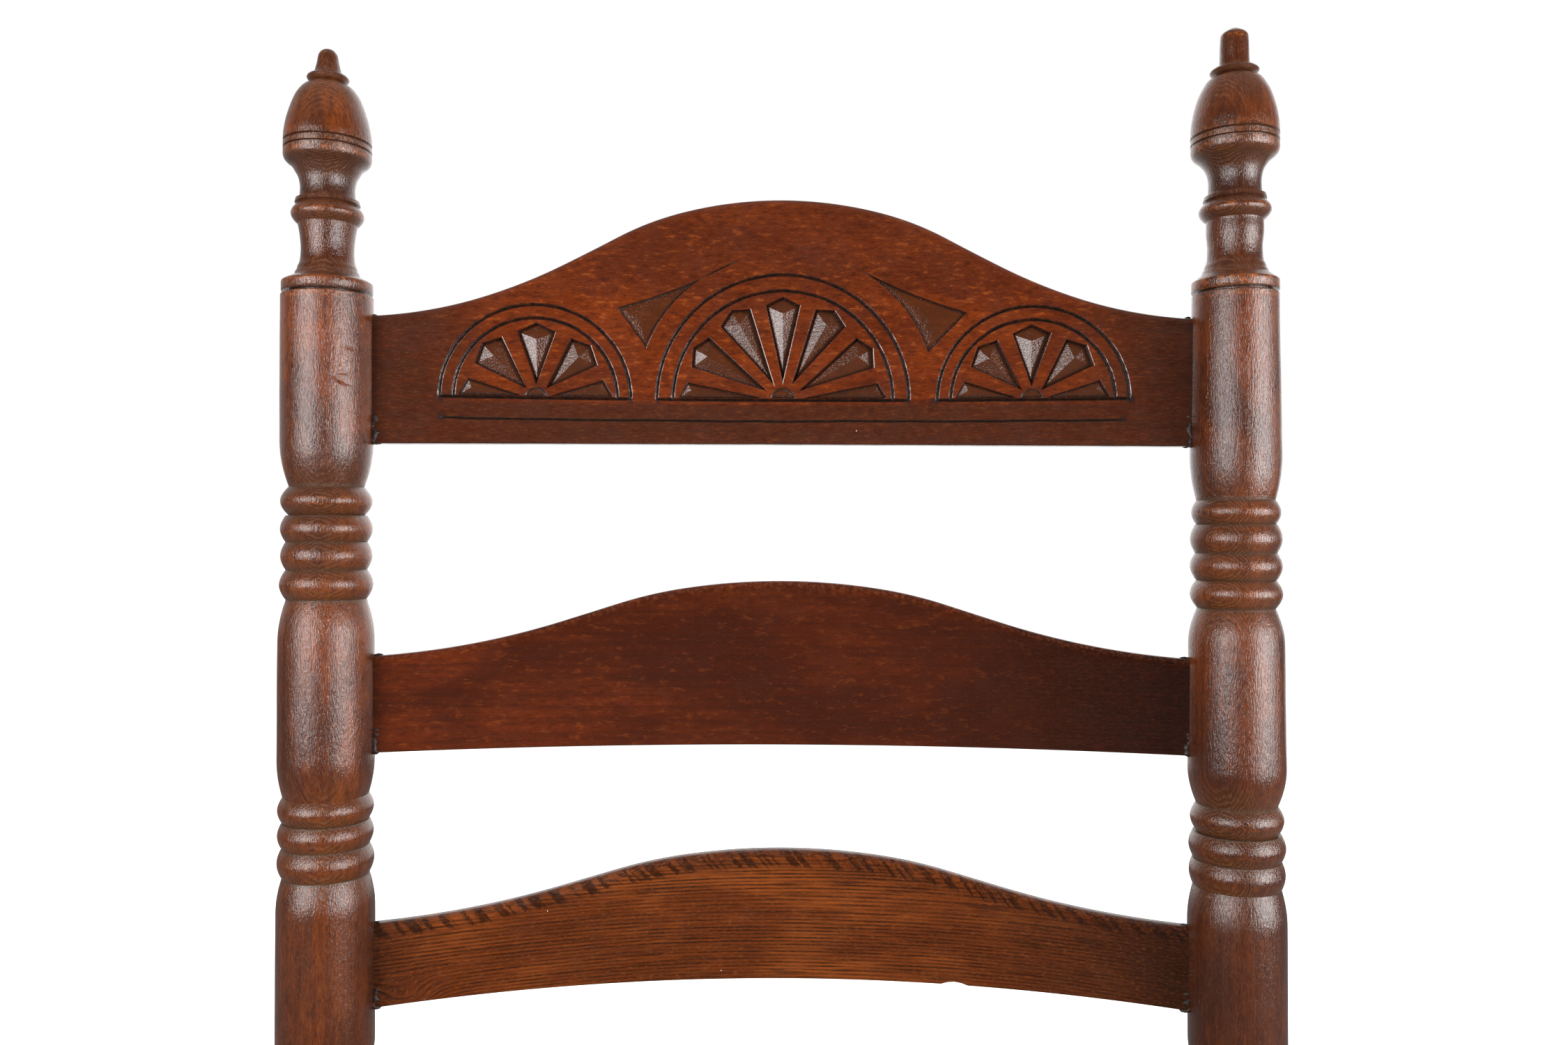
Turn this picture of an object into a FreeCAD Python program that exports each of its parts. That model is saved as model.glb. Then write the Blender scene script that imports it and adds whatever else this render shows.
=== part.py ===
import FreeCAD, Part
import math
import os
import Sketcher

# A ladderback chair: two turned rear posts with acorn finials, four bowed slats let into
# the posts, two turned front legs, four seat rails under a rush seat, and round stretchers
# with tenons in bored holes. Up is +Z, the chair faces -Y, and the origin is on the floor
# under the middle of the chair.

document = FreeCAD.newDocument("ladderback_chair")

# Driving dimensions in millimetres and degrees
sizes = {
    "rear_spread": 400.0,        # between the axes of the rear posts
    "front_spread": 450.0,       # between the axes of the front legs
    "seat_depth": 370.0,         # from the legs' axes back to the posts' axes
    "rear_plane": 182.4,         # the posts' axes lie this far behind the origin
    "front_leg_height": 464.0,
    "left_tip": 1090.6,          # tops of the finials, which differ a little
    "right_tip": 1100.0,
    "left_tip_radius": 5.2,
    "right_tip_radius": 6.2,
    "left_finial_lift": 0.0,     # how much higher one acorn sits above its collar
    "right_finial_lift": 2.4,
    "left_collar": 981.8,        # the groove under each collar
    "right_collar": 982.5,
    "left_rings_one": 897.3,     # top grooves of the ring groups, from above
    "right_rings_one": 891.5,
    "left_rings_two": 762.2,
    "right_rings_two": 758.2,
    "rings_three": 639.0,
    "rings_four": 518.0,
    "rings_five": 385.0,
    "rings_six": 225.0,
    "foot_rings": 62.0,
    "ring_pitch": 11.8,
    "groove_radius": 17.0,
    "ring_swell": 2.4,           # how far a ring stands out of its grooves
    "barrel_end": 14.0,          # length over which a barrel curves in to a groove
    "upper_barrel": 19.4,
    "middle_barrel": 20.3,
    "lower_barrel": 20.8,
    "acorn_radius": 18.6,
    "neck_radius": 11.6,
    "foot_radius": 13.5,
    "slat_reach": 204.0,         # half the length of a slat with its tenons
    "slat_bow": 22.9,            # how far a slat's middle is bent back
    "slat_thickness": 8.0,
    "slat_tilt": 0.22,           # the slats hang a little lower on the right
    "crest_foot": 915.6,
    "crest_foot_arch": 1.8,
    "crest_end_height": 57.4,
    "crest_rise": 56.4,
    "second_foot": 779.2,
    "second_foot_arch": 1.6,
    "second_end_height": 43.0,
    "second_rise": 33.0,
    "third_foot": 665.3,
    "third_foot_arch": 9.5,
    "third_end_height": 38.8,
    "third_rise": 28.6,
    "fourth_foot": 545.0,
    "fourth_foot_arch": 9.5,
    "fourth_end_height": 36.0,
    "fourth_rise": 26.0,
    "slat_board": 140.0,         # height of the bent board that a slat is sawn from
    "cross_rail_height": 424.0,  # axes of the front and rear seat rails
    "side_rail_height": 436.0,   # the side rails sit higher, so the tenons pass
    "rail_radius": 13.0,
    "rail_shoulder": 6.0,        # how far inside a leg's side a rail has its full thickness
    "rush_thickness": 6.0,
    "seat_middle_half": 36.0,    # half the length of the line where the rush panels meet
    "seat_dish": 13.0,           # how far the rush surfaces draw in at the middle
    "tenon_radius": 7.5,
    "tenon_depth": 16.0,
    "stretcher_radius": 11.5,    # plain stretchers, in their middle
    "stretcher_neck": 9.1,       # plain stretchers, where their swell starts
    "swell_start": 40.0,         # from the leg's axis to where a plain stretcher swells
    "swell_half": 30.0,          # half the length over which it has its full thickness
    "turned_radius": 17.0,       # the front stretchers' middle swellings
    "slim_turned_radius": 14.5,
    "turning_start": 34.0,       # from the leg's axis to where a front stretcher is turned
    "front_upper_height": 300.0,
    "front_lower_height": 150.0,
    "side_upper_height": 262.0,
    "side_lower_height": 112.0,
    "rear_stretcher_height": 292.0,
    "clearance": 0.3,
}

sheet = document.addObject("Spreadsheet::Sheet", "dims")
for row, (alias, value) in enumerate(sizes.items(), 1):
    sheet.set(f"A{row}", alias.replace("_", " "))
    sheet.set(f"B{row}", str(value))
    sheet.setAlias(f"B{row}", alias)
document.recompute()

# Half of a slat's top outline: distance from the middle, and share of the rise
slat_shoulders = [(0, 1.0), (45, 0.895), (75, 0.68), (100, 0.44), (135, 0.17), (178, 0.0)]

finished = []


# A size and the words that tie it to the sheet
def size(offset=0.0, **terms):
    number = offset
    words = f"{offset:.4f}"
    for alias, factor in terms.items():
        number += factor * sizes[alias]
        words += f" + ({factor:.6f}) * dims.{alias}"
    return number, words


def find_plane(body, role):
    return [plane for plane in body.Origin.OriginFeatures if plane.Role == role][0]


def new_sketch(body, role, name, lift=0.0):
    sketch = body.newObject("Sketcher::SketchObject", name)
    sketch.AttachmentSupport = [(find_plane(body, role), "")]
    sketch.MapMode = "FlatFace"
    sketch.AttachmentOffset = FreeCAD.Placement(FreeCAD.Vector(0, 0, lift), FreeCAD.Rotation())
    return sketch


# A closed outline of lines and arcs. A corner is (across, up, bulge): the bulge is how far
# the stretch that leads to the corner swells to its left.
def draw_outline(sketch, corners):
    points = [FreeCAD.Vector(across[0], up[0], 0) for across, up, bulge in corners]
    starts = []
    for index, end in enumerate(points):
        start = points[index - 1]
        bulge = corners[index][2]
        if bulge:
            along = end - start
            left = FreeCAD.Vector(-along.y, along.x, 0) / along.Length
            middle = (start + end) / 2 + left * bulge
            sketch.addGeometry(Part.ArcOfCircle(start, middle, end), False)
        else:
            sketch.addGeometry(Part.LineSegment(start, end), False)
        first = sketch.getPoint(index, 1)
        starts.append(1 if first.distanceToPoint(start) < first.distanceToPoint(end) else 2)
    ties = []
    expressions = {}
    for index, (across, up, bulge) in enumerate(corners):
        following = (index + 1) % len(corners)
        ties.append(Sketcher.Constraint("Coincident", index, 3 - starts[index], following, starts[following]))
        if bulge:
            ties.append(Sketcher.Constraint("Radius", index, sketch.Geometry[index].Radius))
        if across[0] == 0:
            ties.append(Sketcher.Constraint("PointOnObject", index, 3 - starts[index], -2))
        else:
            expressions[len(ties)] = across[1]
            ties.append(Sketcher.Constraint("DistanceX", -1, 1, index, 3 - starts[index], across[0]))
        if up[0] == 0:
            ties.append(Sketcher.Constraint("PointOnObject", index, 3 - starts[index], -1))
        else:
            expressions[len(ties)] = up[1]
            ties.append(Sketcher.Constraint("DistanceY", -1, 1, index, 3 - starts[index], up[0]))
    sketch.addConstraint(ties)
    for index, words in expressions.items():
        sketch.setExpression(f"Constraints[{index}]", words)


def place(piece, across, back, up, rotation=FreeCAD.Rotation()):
    piece.Placement = FreeCAD.Placement(FreeCAD.Vector(across[0], back[0], up[0]), rotation)
    piece.setExpression("Placement.Base.x", across[1])
    piece.setExpression("Placement.Base.y", back[1])
    piece.setExpression("Placement.Base.z", up[1])


# A piece turned about its own Z axis, from an outline that runs down its right side
def turn(name, corners):
    body = document.addObject("PartDesign::Body", name)
    sketch = new_sketch(body, "XZ_Plane", name + "_outline")
    draw_outline(sketch, corners)
    revolution = body.newObject("PartDesign::Revolution", name + "_turning")
    revolution.Profile = sketch
    revolution.ReferenceAxis = (sketch, ["V_Axis"])
    revolution.Angle = 360
    return body


# A finished piece, under the name of its node
def finish_piece(piece, name):
    piece.Label = name
    finished.append(piece)
    return piece


# A group of half-round rings below a top groove, down to the groove that ends it
def rings(top, count, swell=1.0):
    bulge = sizes["ring_swell"] * swell
    groove = size(groove_radius=1)
    return [(groove, size(ring_pitch=-step, **top), bulge) for step in range(1, count + 1)]


# The bulge of an arc that leaves a barrel's side without a corner and ends in a groove
def end_bulge(radius):
    drop = sizes[radius] - sizes["groove_radius"]
    run = sizes["barrel_end"]
    return math.hypot(run, drop) / 2 * math.tan(math.atan2(drop, run) / 2)


# A barrel between the groove at its top and the groove at its bottom, which curve in
def barrel(radius, top, bottom, top_pitches):
    bulge = end_bulge(radius)
    side = size(**{radius: 1})
    return [
        (side, size(ring_pitch=-top_pitches, barrel_end=-1, **top), bulge),
        (side, size(barrel_end=1, **bottom), 0),
        (size(groove_radius=1), size(**bottom), bulge),
    ]


# The acorn finial with its tip, neck, bead, cove and collar, down to the collar's groove
def finial(side):
    collar = f"{side}_collar"
    lift = f"{side}_finial_lift"
    tip = f"{side}_tip"
    tip_radius = f"{side}_tip_radius"

    def at(height, lifted=1.0):
        return size(height, **{collar: 1, lift: lifted})

    return [
        (size(), size(**{tip: 1}), 0),
        (size(-1.3, **{tip_radius: 1}), size(-1.9, **{tip: 1}), 0.7),
        (size(**{tip_radius: 1}), at(98.6), 0),
        (size(0.4, **{tip_radius: 1}), at(97.4), 0),
        (size(1.6, **{tip_radius: 1}), at(93.2), 1.9),
        (size(-2.4, acorn_radius=1), at(81.5), 1.5),
        (size(acorn_radius=1), at(67.2), 0.7),
        (size(-0.5, acorn_radius=1), at(66.3), 0),
        (size(acorn_radius=1), at(65.5), 0),
        (size(acorn_radius=1), at(64.0), 0),
        (size(-0.5, acorn_radius=1), at(63.1), 0),
        (size(-0.1, acorn_radius=1), at(62.3), 0),
        (size(-0.2, acorn_radius=1), at(58.9), 0),
        (size(-3.2, acorn_radius=1), at(55.8), 0.8),
        (size(neck_radius=1), at(47.2), -0.7),
        (size(0.7, neck_radius=1), at(41.8, 0.5), -0.2),
        (size(2.2, neck_radius=1), at(41.2, 0.5), 0),
        (size(2.2, neck_radius=1), at(39.6, 0.5), 0),
        (size(1.2, neck_radius=1), at(39.2, 0.5), 0),
        (size(1.2, neck_radius=1), at(31.0, 0.5), 2.6),
        (size(1.0, neck_radius=1), at(12.5, 0), -1.6),
        (size(2.3, neck_radius=1), at(8.9, 0), -0.3),
        (size(2.3, neck_radius=1), at(7.6, 0), 0),
        (size(5.7, neck_radius=1), at(6.6, 0), 0),
        (size(-0.2, upper_barrel=1), at(5.0, 0), 0.5),
        (size(-0.2, upper_barrel=1), at(2.1, 0), 0),
        (size(groove_radius=1), at(0, 0), 0.5),
    ]


# From the seat barrel's lower groove down to the foot
def lower_turning():
    return rings({"rings_five": 1}, 3) + barrel(
        "lower_barrel", {"rings_five": 1}, {"rings_six": 1}, 3
    ) + rings({"rings_six": 1}, 3) + barrel(
        "lower_barrel", {"rings_six": 1}, {"foot_rings": 1}, 3
    ) + rings({"foot_rings": 1}, 1) + [
        (size(-2.0, lower_barrel=1), size(38.0), 1.6),
        (size(foot_radius=1), size(1.5), 0.8),
        (size(-1.5, foot_radius=1), size(), 0),
        (size(), size(), 0),
    ]


def rear_post_outline(side):
    first = {f"{side}_rings_one": 1}
    second = {f"{side}_rings_two": 1}
    third = {"rings_three": 1}
    fourth = {"rings_four": 1}
    collar = {f"{side}_collar": 1}
    shoulder = [
        (size(-0.2, upper_barrel=1), size(-1.8, **collar), 0.5),
        (size(upper_barrel=1), size(barrel_end=1, **first), 0),
        (size(groove_radius=1), size(**first), end_bulge("upper_barrel")),
    ]
    return (
        finial(side) + shoulder
        + rings(first, 4)
        + barrel("middle_barrel", first, second, 4)
        + rings(second, 3, 1.15)
        + barrel("lower_barrel", second, third, 3)
        + rings(third, 3, 1.15)
        + barrel("lower_barrel", third, fourth, 3)
        + rings(fourth, 3, 1.15)
        + barrel("lower_barrel", fourth, {"rings_five": 1}, 3)
        + lower_turning()
    )


def front_leg_outline():
    top = [
        (size(), size(front_leg_height=1), 0),
        (size(-3.0, lower_barrel=1), size(-2.0, front_leg_height=1), 0.6),
        (size(lower_barrel=1), size(-6.0, front_leg_height=1), 1.0),
        (size(lower_barrel=1), size(barrel_end=1, rings_five=1), 0),
        (size(groove_radius=1), size(rings_five=1), end_bulge("lower_barrel")),
    ]
    return top + lower_turning()


# The arcs through these points, each starting in the direction in which the last one ended
def smooth_bulges(points):
    bulges = []
    heading = 0.0
    for (x, y), (next_x, next_y) in zip(points, points[1:]):
        chord = math.atan2(next_y - y, next_x - x)
        half_turn = chord - heading
        bulges.append(math.hypot(next_x - x, next_y - y) / 2 * math.tan(half_turn / 2))
        heading = chord + half_turn
    return bulges


# A slat: a board bent backwards, sawn to the outline seen from the front
def make_slat(kind):
    foot = {f"{kind}_foot": 1}
    board = document.addObject("PartDesign::Body", kind + "_board")
    plan = new_sketch(board, "XY_Plane", kind + "_bend")
    bow = sizes["slat_bow"]
    half = size(slat_thickness=0.5)
    minus_half = size(slat_thickness=-0.5)
    reach = size(slat_reach=1)
    minus_reach = size(slat_reach=-1)
    draw_outline(plan, [
        (minus_reach, minus_half, 0),
        (reach, minus_half, bow),
        (reach, half, 0),
        (minus_reach, half, -bow),
    ])
    pad = board.newObject("PartDesign::Pad", kind + "_bent_board")
    pad.Profile = plan
    pad.setExpression("Length", "dims.slat_board")

    outline = document.addObject("PartDesign::Body", kind + "_outline")
    front = new_sketch(outline, "XZ_Plane", kind + "_sawn_edge")
    rise = sizes[f"{kind}_rise"]
    end_height = sizes[f"{kind}_end_height"]
    heights = [(across, end_height + share * rise) for across, share in slat_shoulders]
    heights.append((sizes["slat_reach"], end_height))
    bulges = smooth_bulges(heights)
    shares = [share for across, share in slat_shoulders] + [0.0]
    places = [size(across) for across, share in slat_shoulders] + [reach]
    mirrored = [size(-across) for across, share in slat_shoulders] + [minus_reach]
    edge_heights = [size(1.0, **{f"{kind}_end_height": 1, f"{kind}_rise": share}) for share in shares]
    corners = [(places[0], edge_heights[0], bulges[0])]
    for index in range(1, len(places)):
        corners.append((places[index], edge_heights[index], bulges[index - 1]))
    corners.append((reach, size(1.0), 0))
    corners.append((minus_reach, size(1.0), -sizes[f"{kind}_foot_arch"]))
    corners.append((minus_reach, edge_heights[-1], 0))
    for index in range(len(places) - 2, 0, -1):
        corners.append((mirrored[index], edge_heights[index], bulges[index]))
    draw_outline(front, corners)
    sawing = outline.newObject("PartDesign::Pad", kind + "_sawing")
    sawing.Profile = front
    sawing.SideType = "Symmetric"
    sawing.setExpression("Length", "4 * dims.slat_bow")

    tilt = FreeCAD.Rotation(FreeCAD.Vector(0, 1, 0), sizes["slat_tilt"])
    for piece in (board, outline):
        place(piece, size(), size(-0.9, rear_plane=1), size(-1.0, **foot), tilt)
    slat = document.addObject("Part::Common", kind + "_slat")
    slat.Base = board
    slat.Tool = outline
    return finish_piece(slat, kind + "_slat")


# A turned stick between two uprights whose axes are twice the half span apart, with a round
# tenon on each end. The half profile runs from the shoulder to the stick's middle.
def stick_outline(half_span, half_profile):
    half_length = size(tenon_depth=1, lower_barrel=-1)
    tenon_end = (half_span[0] + half_length[0], half_span[1] + " + " + half_length[1])
    shoulder = (half_span[0] - sizes["lower_barrel"], half_span[1] + " - dims.lower_barrel")
    tenon = size(tenon_radius=1)
    upper = [(size(), tenon_end, 0), (tenon, tenon_end, 0), (tenon, shoulder, 0)]
    upper += half_profile
    lower = []
    for index in range(len(upper) - 1, -1, -1):
        radius, height, bulge = upper[index]
        from_above = upper[index + 1][2] if index + 1 < len(upper) else 0
        lower.append((radius, (-height[0], f"-({height[1]})"), from_above))
    return upper + lower


def plain_profile(half_span, radius):
    taper = sizes["lower_barrel"] + sizes["rail_shoulder"]
    full = (half_span[0] - taper, half_span[1] + " - dims.lower_barrel - dims.rail_shoulder")
    return [(radius, full, 0)]


def swelled_profile(half_span):
    near = (half_span[0] - sizes["swell_start"], half_span[1] + " - dims.swell_start")
    return [(size(stretcher_neck=1), near, 0), (size(stretcher_radius=1), size(swell_half=1), 0.6)]


# Half of an ornamental front stretcher, from the leg to the ring in its middle
def turned_profile(half_span, full_radius):
    near = (half_span[0] - sizes["turning_start"], half_span[1] + " - dims.turning_start")
    waist = {"tenon_radius": 1}
    return [
        (size(1.2, **waist), near, 0),
        (size(1.2, **waist), size(181.0), 0),
        (size(1.2, **waist), size(173.0), 3.0),
        (size(2.0, **waist), size(140.0), 0),
        (size(-1.5, **full_radius), size(96.0), 1.4),
        (size(2.6, **waist), size(72.0), 2.4),
        (size(2.6, **waist), size(63.0), 3.0),
        (size(2.6, **waist), size(54.0), 3.0),
        (size(2.6, **waist), size(9.0), size(-2.6, **full_radius, tenon_radius=-1)[0]),
    ]


def run_stick(name, outline, start, end):
    stick = turn(name, outline)
    middle = [(start[axis] + end[axis]) / 2 for axis in range(3)]
    along = FreeCAD.Vector(*end) - FreeCAD.Vector(*start)
    stick.Placement = FreeCAD.Placement(
        FreeCAD.Vector(*middle), FreeCAD.Rotation(FreeCAD.Vector(0, 0, 1), along)
    )
    return finish_piece(stick, name)


rear_y = sizes["rear_plane"]
front_y = rear_y - sizes["seat_depth"]
rear_x = sizes["rear_spread"] / 2
front_x = sizes["front_spread"] / 2
front_half = size(front_spread=0.5)
rear_half = size(rear_spread=0.5)
side_half = (
    math.hypot(sizes["seat_depth"], front_x - rear_x) / 2,
    "hypot(dims.seat_depth; (dims.front_spread - dims.rear_spread) / 2) / 2",
)

slats = [make_slat(kind) for kind in ("crest", "second", "third", "fourth")]


# Rails and stretchers that run across the chair
def cross_stick(name, half_span, half_profile, back, up):
    outline = stick_outline(half_span, half_profile)
    return run_stick(name, outline, (-half_span[0], back, up), (half_span[0], back, up))


rail_radius = size(rail_radius=1)
cross_height = sizes["cross_rail_height"]
side_height = sizes["side_rail_height"]
front_rail = cross_stick(
    "seat_rail_front", front_half, plain_profile(front_half, rail_radius), front_y, cross_height
)
rear_rail = cross_stick(
    "seat_rail_rear", rear_half, plain_profile(rear_half, rail_radius), rear_y, cross_height
)
front_stretchers = [
    cross_stick("front_stretcher_upper", front_half, turned_profile(front_half, {"turned_radius": 1}),
                front_y, sizes["front_upper_height"]),
    cross_stick("front_stretcher_lower", front_half, turned_profile(front_half, {"slim_turned_radius": 1}),
                front_y, sizes["front_lower_height"]),
]
rear_stretcher = cross_stick(
    "rear_stretcher", rear_half, swelled_profile(rear_half), rear_y, sizes["rear_stretcher_height"]
)


# Rails and stretchers on the two sides, which close in towards the back
def side_stick(name, sign, half_profile, up):
    outline = stick_outline(side_half, half_profile)
    return run_stick(name, outline, (sign * front_x, front_y, up), (sign * rear_x, rear_y, up))


side_pieces = {}
for side, sign in (("left", -1), ("right", 1)):
    side_pieces[side] = [
        side_stick(f"seat_rail_{side}", sign, plain_profile(side_half, rail_radius), side_height),
        side_stick(f"side_stretcher_{side}_upper", sign, swelled_profile(side_half), sizes["side_upper_height"]),
        side_stick(f"side_stretcher_{side}_lower", sign, swelled_profile(side_half), sizes["side_lower_height"]),
    ]


# A turned upright with the mortises and holes that its slats, rails and stretchers fill
def joined_upright(name, outline, across, back, entering):
    turned = turn(name + "_turned", outline)
    place(turned, across, back, size())
    tenons = document.addObject("Part::Compound", name + "_tenons")
    tenons.Links = entering
    upright = document.addObject("Part::Cut", name)
    upright.Base = turned
    upright.Tool = tenons
    return finish_piece(upright, name)


back_plane = size(rear_plane=1)
leg_plane = size(rear_plane=1, seat_depth=-1)
uprights = []
for side, sign in (("left", -1), ("right", 1)):
    post_joints = slats + [rear_rail, rear_stretcher] + side_pieces[side]
    leg_joints = [front_rail] + front_stretchers + side_pieces[side]
    uprights.append(joined_upright(
        f"rear_post_{side}", rear_post_outline(side), size(rear_spread=sign / 2), back_plane, post_joints
    ))
    uprights.append(joined_upright(
        f"front_leg_{side}", front_leg_outline(), size(front_spread=sign / 2), leg_plane, leg_joints
    ))


# The plan of the rush between the rails' axes, drawn in by a share from 0 to 1 to the
# line in the middle where the panels meet
def seat_plan(sketch, share):
    middle_y = (front_y + rear_y) / 2
    front_edge = front_y + share * (middle_y - front_y)
    rear_edge = rear_y + share * (middle_y - rear_y)
    slot = sizes["seat_middle_half"]
    front_edge_x = front_x + share * (slot - front_x)
    rear_edge_x = rear_x + share * (slot - rear_x)
    draw_outline(sketch, [
        (size(-front_edge_x), size(front_edge), 0),
        (size(front_edge_x), size(front_edge), 0),
        (size(rear_edge_x), size(rear_edge), 0),
        (size(-rear_edge_x), size(rear_edge), 0),
    ])


# The woven seat: sleeves of rush round the rails, joined by panels that dish in from a rim
# just outside the slab's faces to a short line in the middle
def make_seat():
    rush = sizes["rush_thickness"]
    sleeve = sizes["rail_radius"] + rush
    mean_height = (cross_height + side_height) / 2
    panels = document.addObject("PartDesign::Body", "seat_panels")
    base = new_sketch(panels, "XY_Plane", "seat_edge", mean_height)
    seat_plan(base, 0)
    slab = panels.newObject("PartDesign::Pad", "seat_slab")
    slab.Profile = base
    slab.SideType = "Symmetric"
    slab.Length = 2 * sleeve
    rim_share = 0.0005
    line_share = 0.97
    skin = 0.01
    for name, way in (("top", 1), ("underside", -1)):
        rim = new_sketch(panels, "XY_Plane", f"seat_{name}_rim", mean_height + way * (sleeve + skin))
        seat_plan(rim, rim_share)
        line_height = mean_height + way * (sleeve - sizes["seat_dish"])
        line = new_sketch(panels, "XY_Plane", f"seat_{name}_line", line_height)
        seat_plan(line, line_share)
        dish = panels.newObject("PartDesign::SubtractiveLoft", f"seat_{name}_dish")
        dish.Profile = rim
        dish.Sections = [line]
        dish.Ruled = True
    sleeves = []
    for rail in (front_rail, rear_rail, side_pieces["left"][0], side_pieces["right"][0]):
        cylinder = document.addObject("Part::Cylinder", rail.Name + "_rush")
        cylinder.setExpression("Radius", "dims.rail_radius + dims.rush_thickness")
        half_span = side_half[0] if rail in (side_pieces["left"][0], side_pieces["right"][0]) else (
            front_x if rail is front_rail else rear_x)
        cylinder.Height = 2 * half_span
        shift = FreeCAD.Placement(FreeCAD.Vector(0, 0, -half_span), FreeCAD.Rotation())
        cylinder.Placement = rail.Placement.multiply(shift)
        sleeves.append(cylinder)
    whole = document.addObject("Part::MultiFuse", "seat_rush_whole")
    whole.Shapes = [panels] + sleeves
    rooms = []
    for name, x, y in (("front_left", -front_x, front_y), ("front_right", front_x, front_y),
                       ("rear_left", -rear_x, rear_y), ("rear_right", rear_x, rear_y)):
        room = document.addObject("Part::Cylinder", name + "_room")
        room.setExpression("Radius", "dims.lower_barrel + dims.clearance")
        room.Height = 4 * sleeve
        room.Placement.Base = FreeCAD.Vector(x, y, mean_height - 2 * sleeve)
        rooms.append(room)
    inside = document.addObject("Part::Compound", "seat_inside")
    inside.Links = [front_rail, rear_rail, side_pieces["left"][0], side_pieces["right"][0]] + rooms
    seat = document.addObject("Part::Cut", "rush_seat")
    seat.Base = whole
    seat.Tool = inside
    return finish_piece(seat, "rush_seat")


seat = make_seat()
document.recompute()

for thing in document.Objects:
    if "Invalid" in thing.State or "Error" in thing.State:
        raise RuntimeError(f"{thing.Label} did not compute: {thing.State}")
for piece in finished:
    shape = piece.Shape
    if shape.isNull() or not shape.isValid() or len(shape.Solids) != 1:
        raise RuntimeError(f"{piece.Label} is not one valid solid")

os.makedirs("parts", exist_ok=True)
for piece in finished:
    piece.Shape.exportStep(f"parts/{piece.Label}.step")
    box = piece.Shape.BoundBox
    print(f"{piece.Label}: {piece.Shape.Volume / 1000:.1f} cm3, z {box.ZMin:.1f} to {box.ZMax:.1f}")
whole = Part.makeCompound([piece.Shape for piece in finished]).BoundBox
print(f"whole chair: x {whole.XMin:.2f} {whole.XMax:.2f}, y {whole.YMin:.2f} {whole.YMax:.2f}, "
      f"z {whole.ZMin:.2f} {whole.ZMax:.2f}")
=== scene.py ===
import math
import random

import bpy
import numpy
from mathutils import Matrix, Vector, geometry, noise


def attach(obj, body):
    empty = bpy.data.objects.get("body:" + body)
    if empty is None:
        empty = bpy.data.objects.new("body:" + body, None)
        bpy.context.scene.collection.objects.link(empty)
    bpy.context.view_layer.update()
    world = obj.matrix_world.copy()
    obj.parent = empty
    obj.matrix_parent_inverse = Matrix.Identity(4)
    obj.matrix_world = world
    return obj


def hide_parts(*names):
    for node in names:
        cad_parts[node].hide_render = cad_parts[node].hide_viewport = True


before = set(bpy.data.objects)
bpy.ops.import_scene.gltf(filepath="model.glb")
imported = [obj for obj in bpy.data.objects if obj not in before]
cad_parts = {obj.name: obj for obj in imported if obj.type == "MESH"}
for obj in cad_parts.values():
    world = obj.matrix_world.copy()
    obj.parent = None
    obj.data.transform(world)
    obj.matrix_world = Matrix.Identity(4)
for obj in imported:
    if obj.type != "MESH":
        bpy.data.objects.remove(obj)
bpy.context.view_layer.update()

# Sizes below are in millimetres, and become metres when a mesh is made
millimetre = 0.001

chair = {
    "postSpread": 400.0,
    "legSpread": 450.0,
    "postPlane": 182.4,
    "legPlane": -187.6,
    "legTop": 464.0,
    "barrelRadius": 20.8,
    "tenonDepth": 16.0,
}


# Colours are written as seen on a screen, from 0 to 255
def paint(red, green, blue):
    def linear(level):
        share = level / 255
        return share / 12.92 if share <= 0.04045 else ((share + 0.055) / 1.055) ** 2.4
    return (linear(red), linear(green), linear(blue), 1.0)


def clamp(value, low=0.0, high=1.0):
    return max(low, min(high, value))


def smooth(value):
    share = clamp(value)
    return share * share * (3 - 2 * share)


# Links a socket to another one, or sets it to a plain value
def feed(tree, socket, value):
    if isinstance(value, bpy.types.NodeSocket):
        tree.links.new(value, socket)
    else:
        socket.default_value = value


def addNode(tree, kind, inputs=None, **settings):
    made = tree.nodes.new(kind)
    for name, value in settings.items():
        setattr(made, name, value)
    for name, value in (inputs or {}).items():
        feed(tree, made.inputs[name], value)
    return made


def calc(tree, operation, first, second=0.0, third=0.0, limit=False):
    inputs = {0: first, 1: second, 2: third}
    return addNode(tree, "ShaderNodeMath", inputs, operation=operation, use_clamp=limit).outputs[0]


def times(tree, first, second, limit=False):
    return calc(tree, "MULTIPLY", first, second, limit=limit)


def timesPlus(tree, first, second, third):
    return calc(tree, "MULTIPLY_ADD", first, second, third)


def stretch(tree, vector, factors):
    return addNode(tree, "ShaderNodeVectorMath", {0: vector, 1: factors}, operation="MULTIPLY").outputs[0]


def cloud(tree, vector, scale, detail=2.0, roughness=0.5, swirl=0.0):
    inputs = {"Vector": vector, "Scale": scale, "Detail": detail, "Roughness": roughness, "Distortion": swirl}
    return addNode(tree, "ShaderNodeTexNoise", inputs).outputs[0]


# A cloud that is squeezed by its own factor along each axis
def stretchedCloud(tree, place, factors, detail=2.0, roughness=0.5, swirl=0.0):
    return cloud(tree, stretch(tree, place, factors), 1.0, detail, roughness, swirl)


def remap(tree, value, low, high, toLow=0.0, toHigh=1.0):
    inputs = {"Value": value, "From Min": low, "From Max": high, "To Min": toLow, "To Max": toHigh}
    return addNode(tree, "ShaderNodeMapRange", inputs, interpolation_type="SMOOTHSTEP").outputs[0]


# A colour between two others; a colour mix has its share, colours and result at these sockets
def blend(tree, share, first, second):
    made = addNode(tree, "ShaderNodeMix", data_type="RGBA", blend_type="MIX")
    for index, value in ((0, share), (6, first), (7, second)):
        feed(tree, made.inputs[index], value)
    return made.outputs[2]


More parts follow.
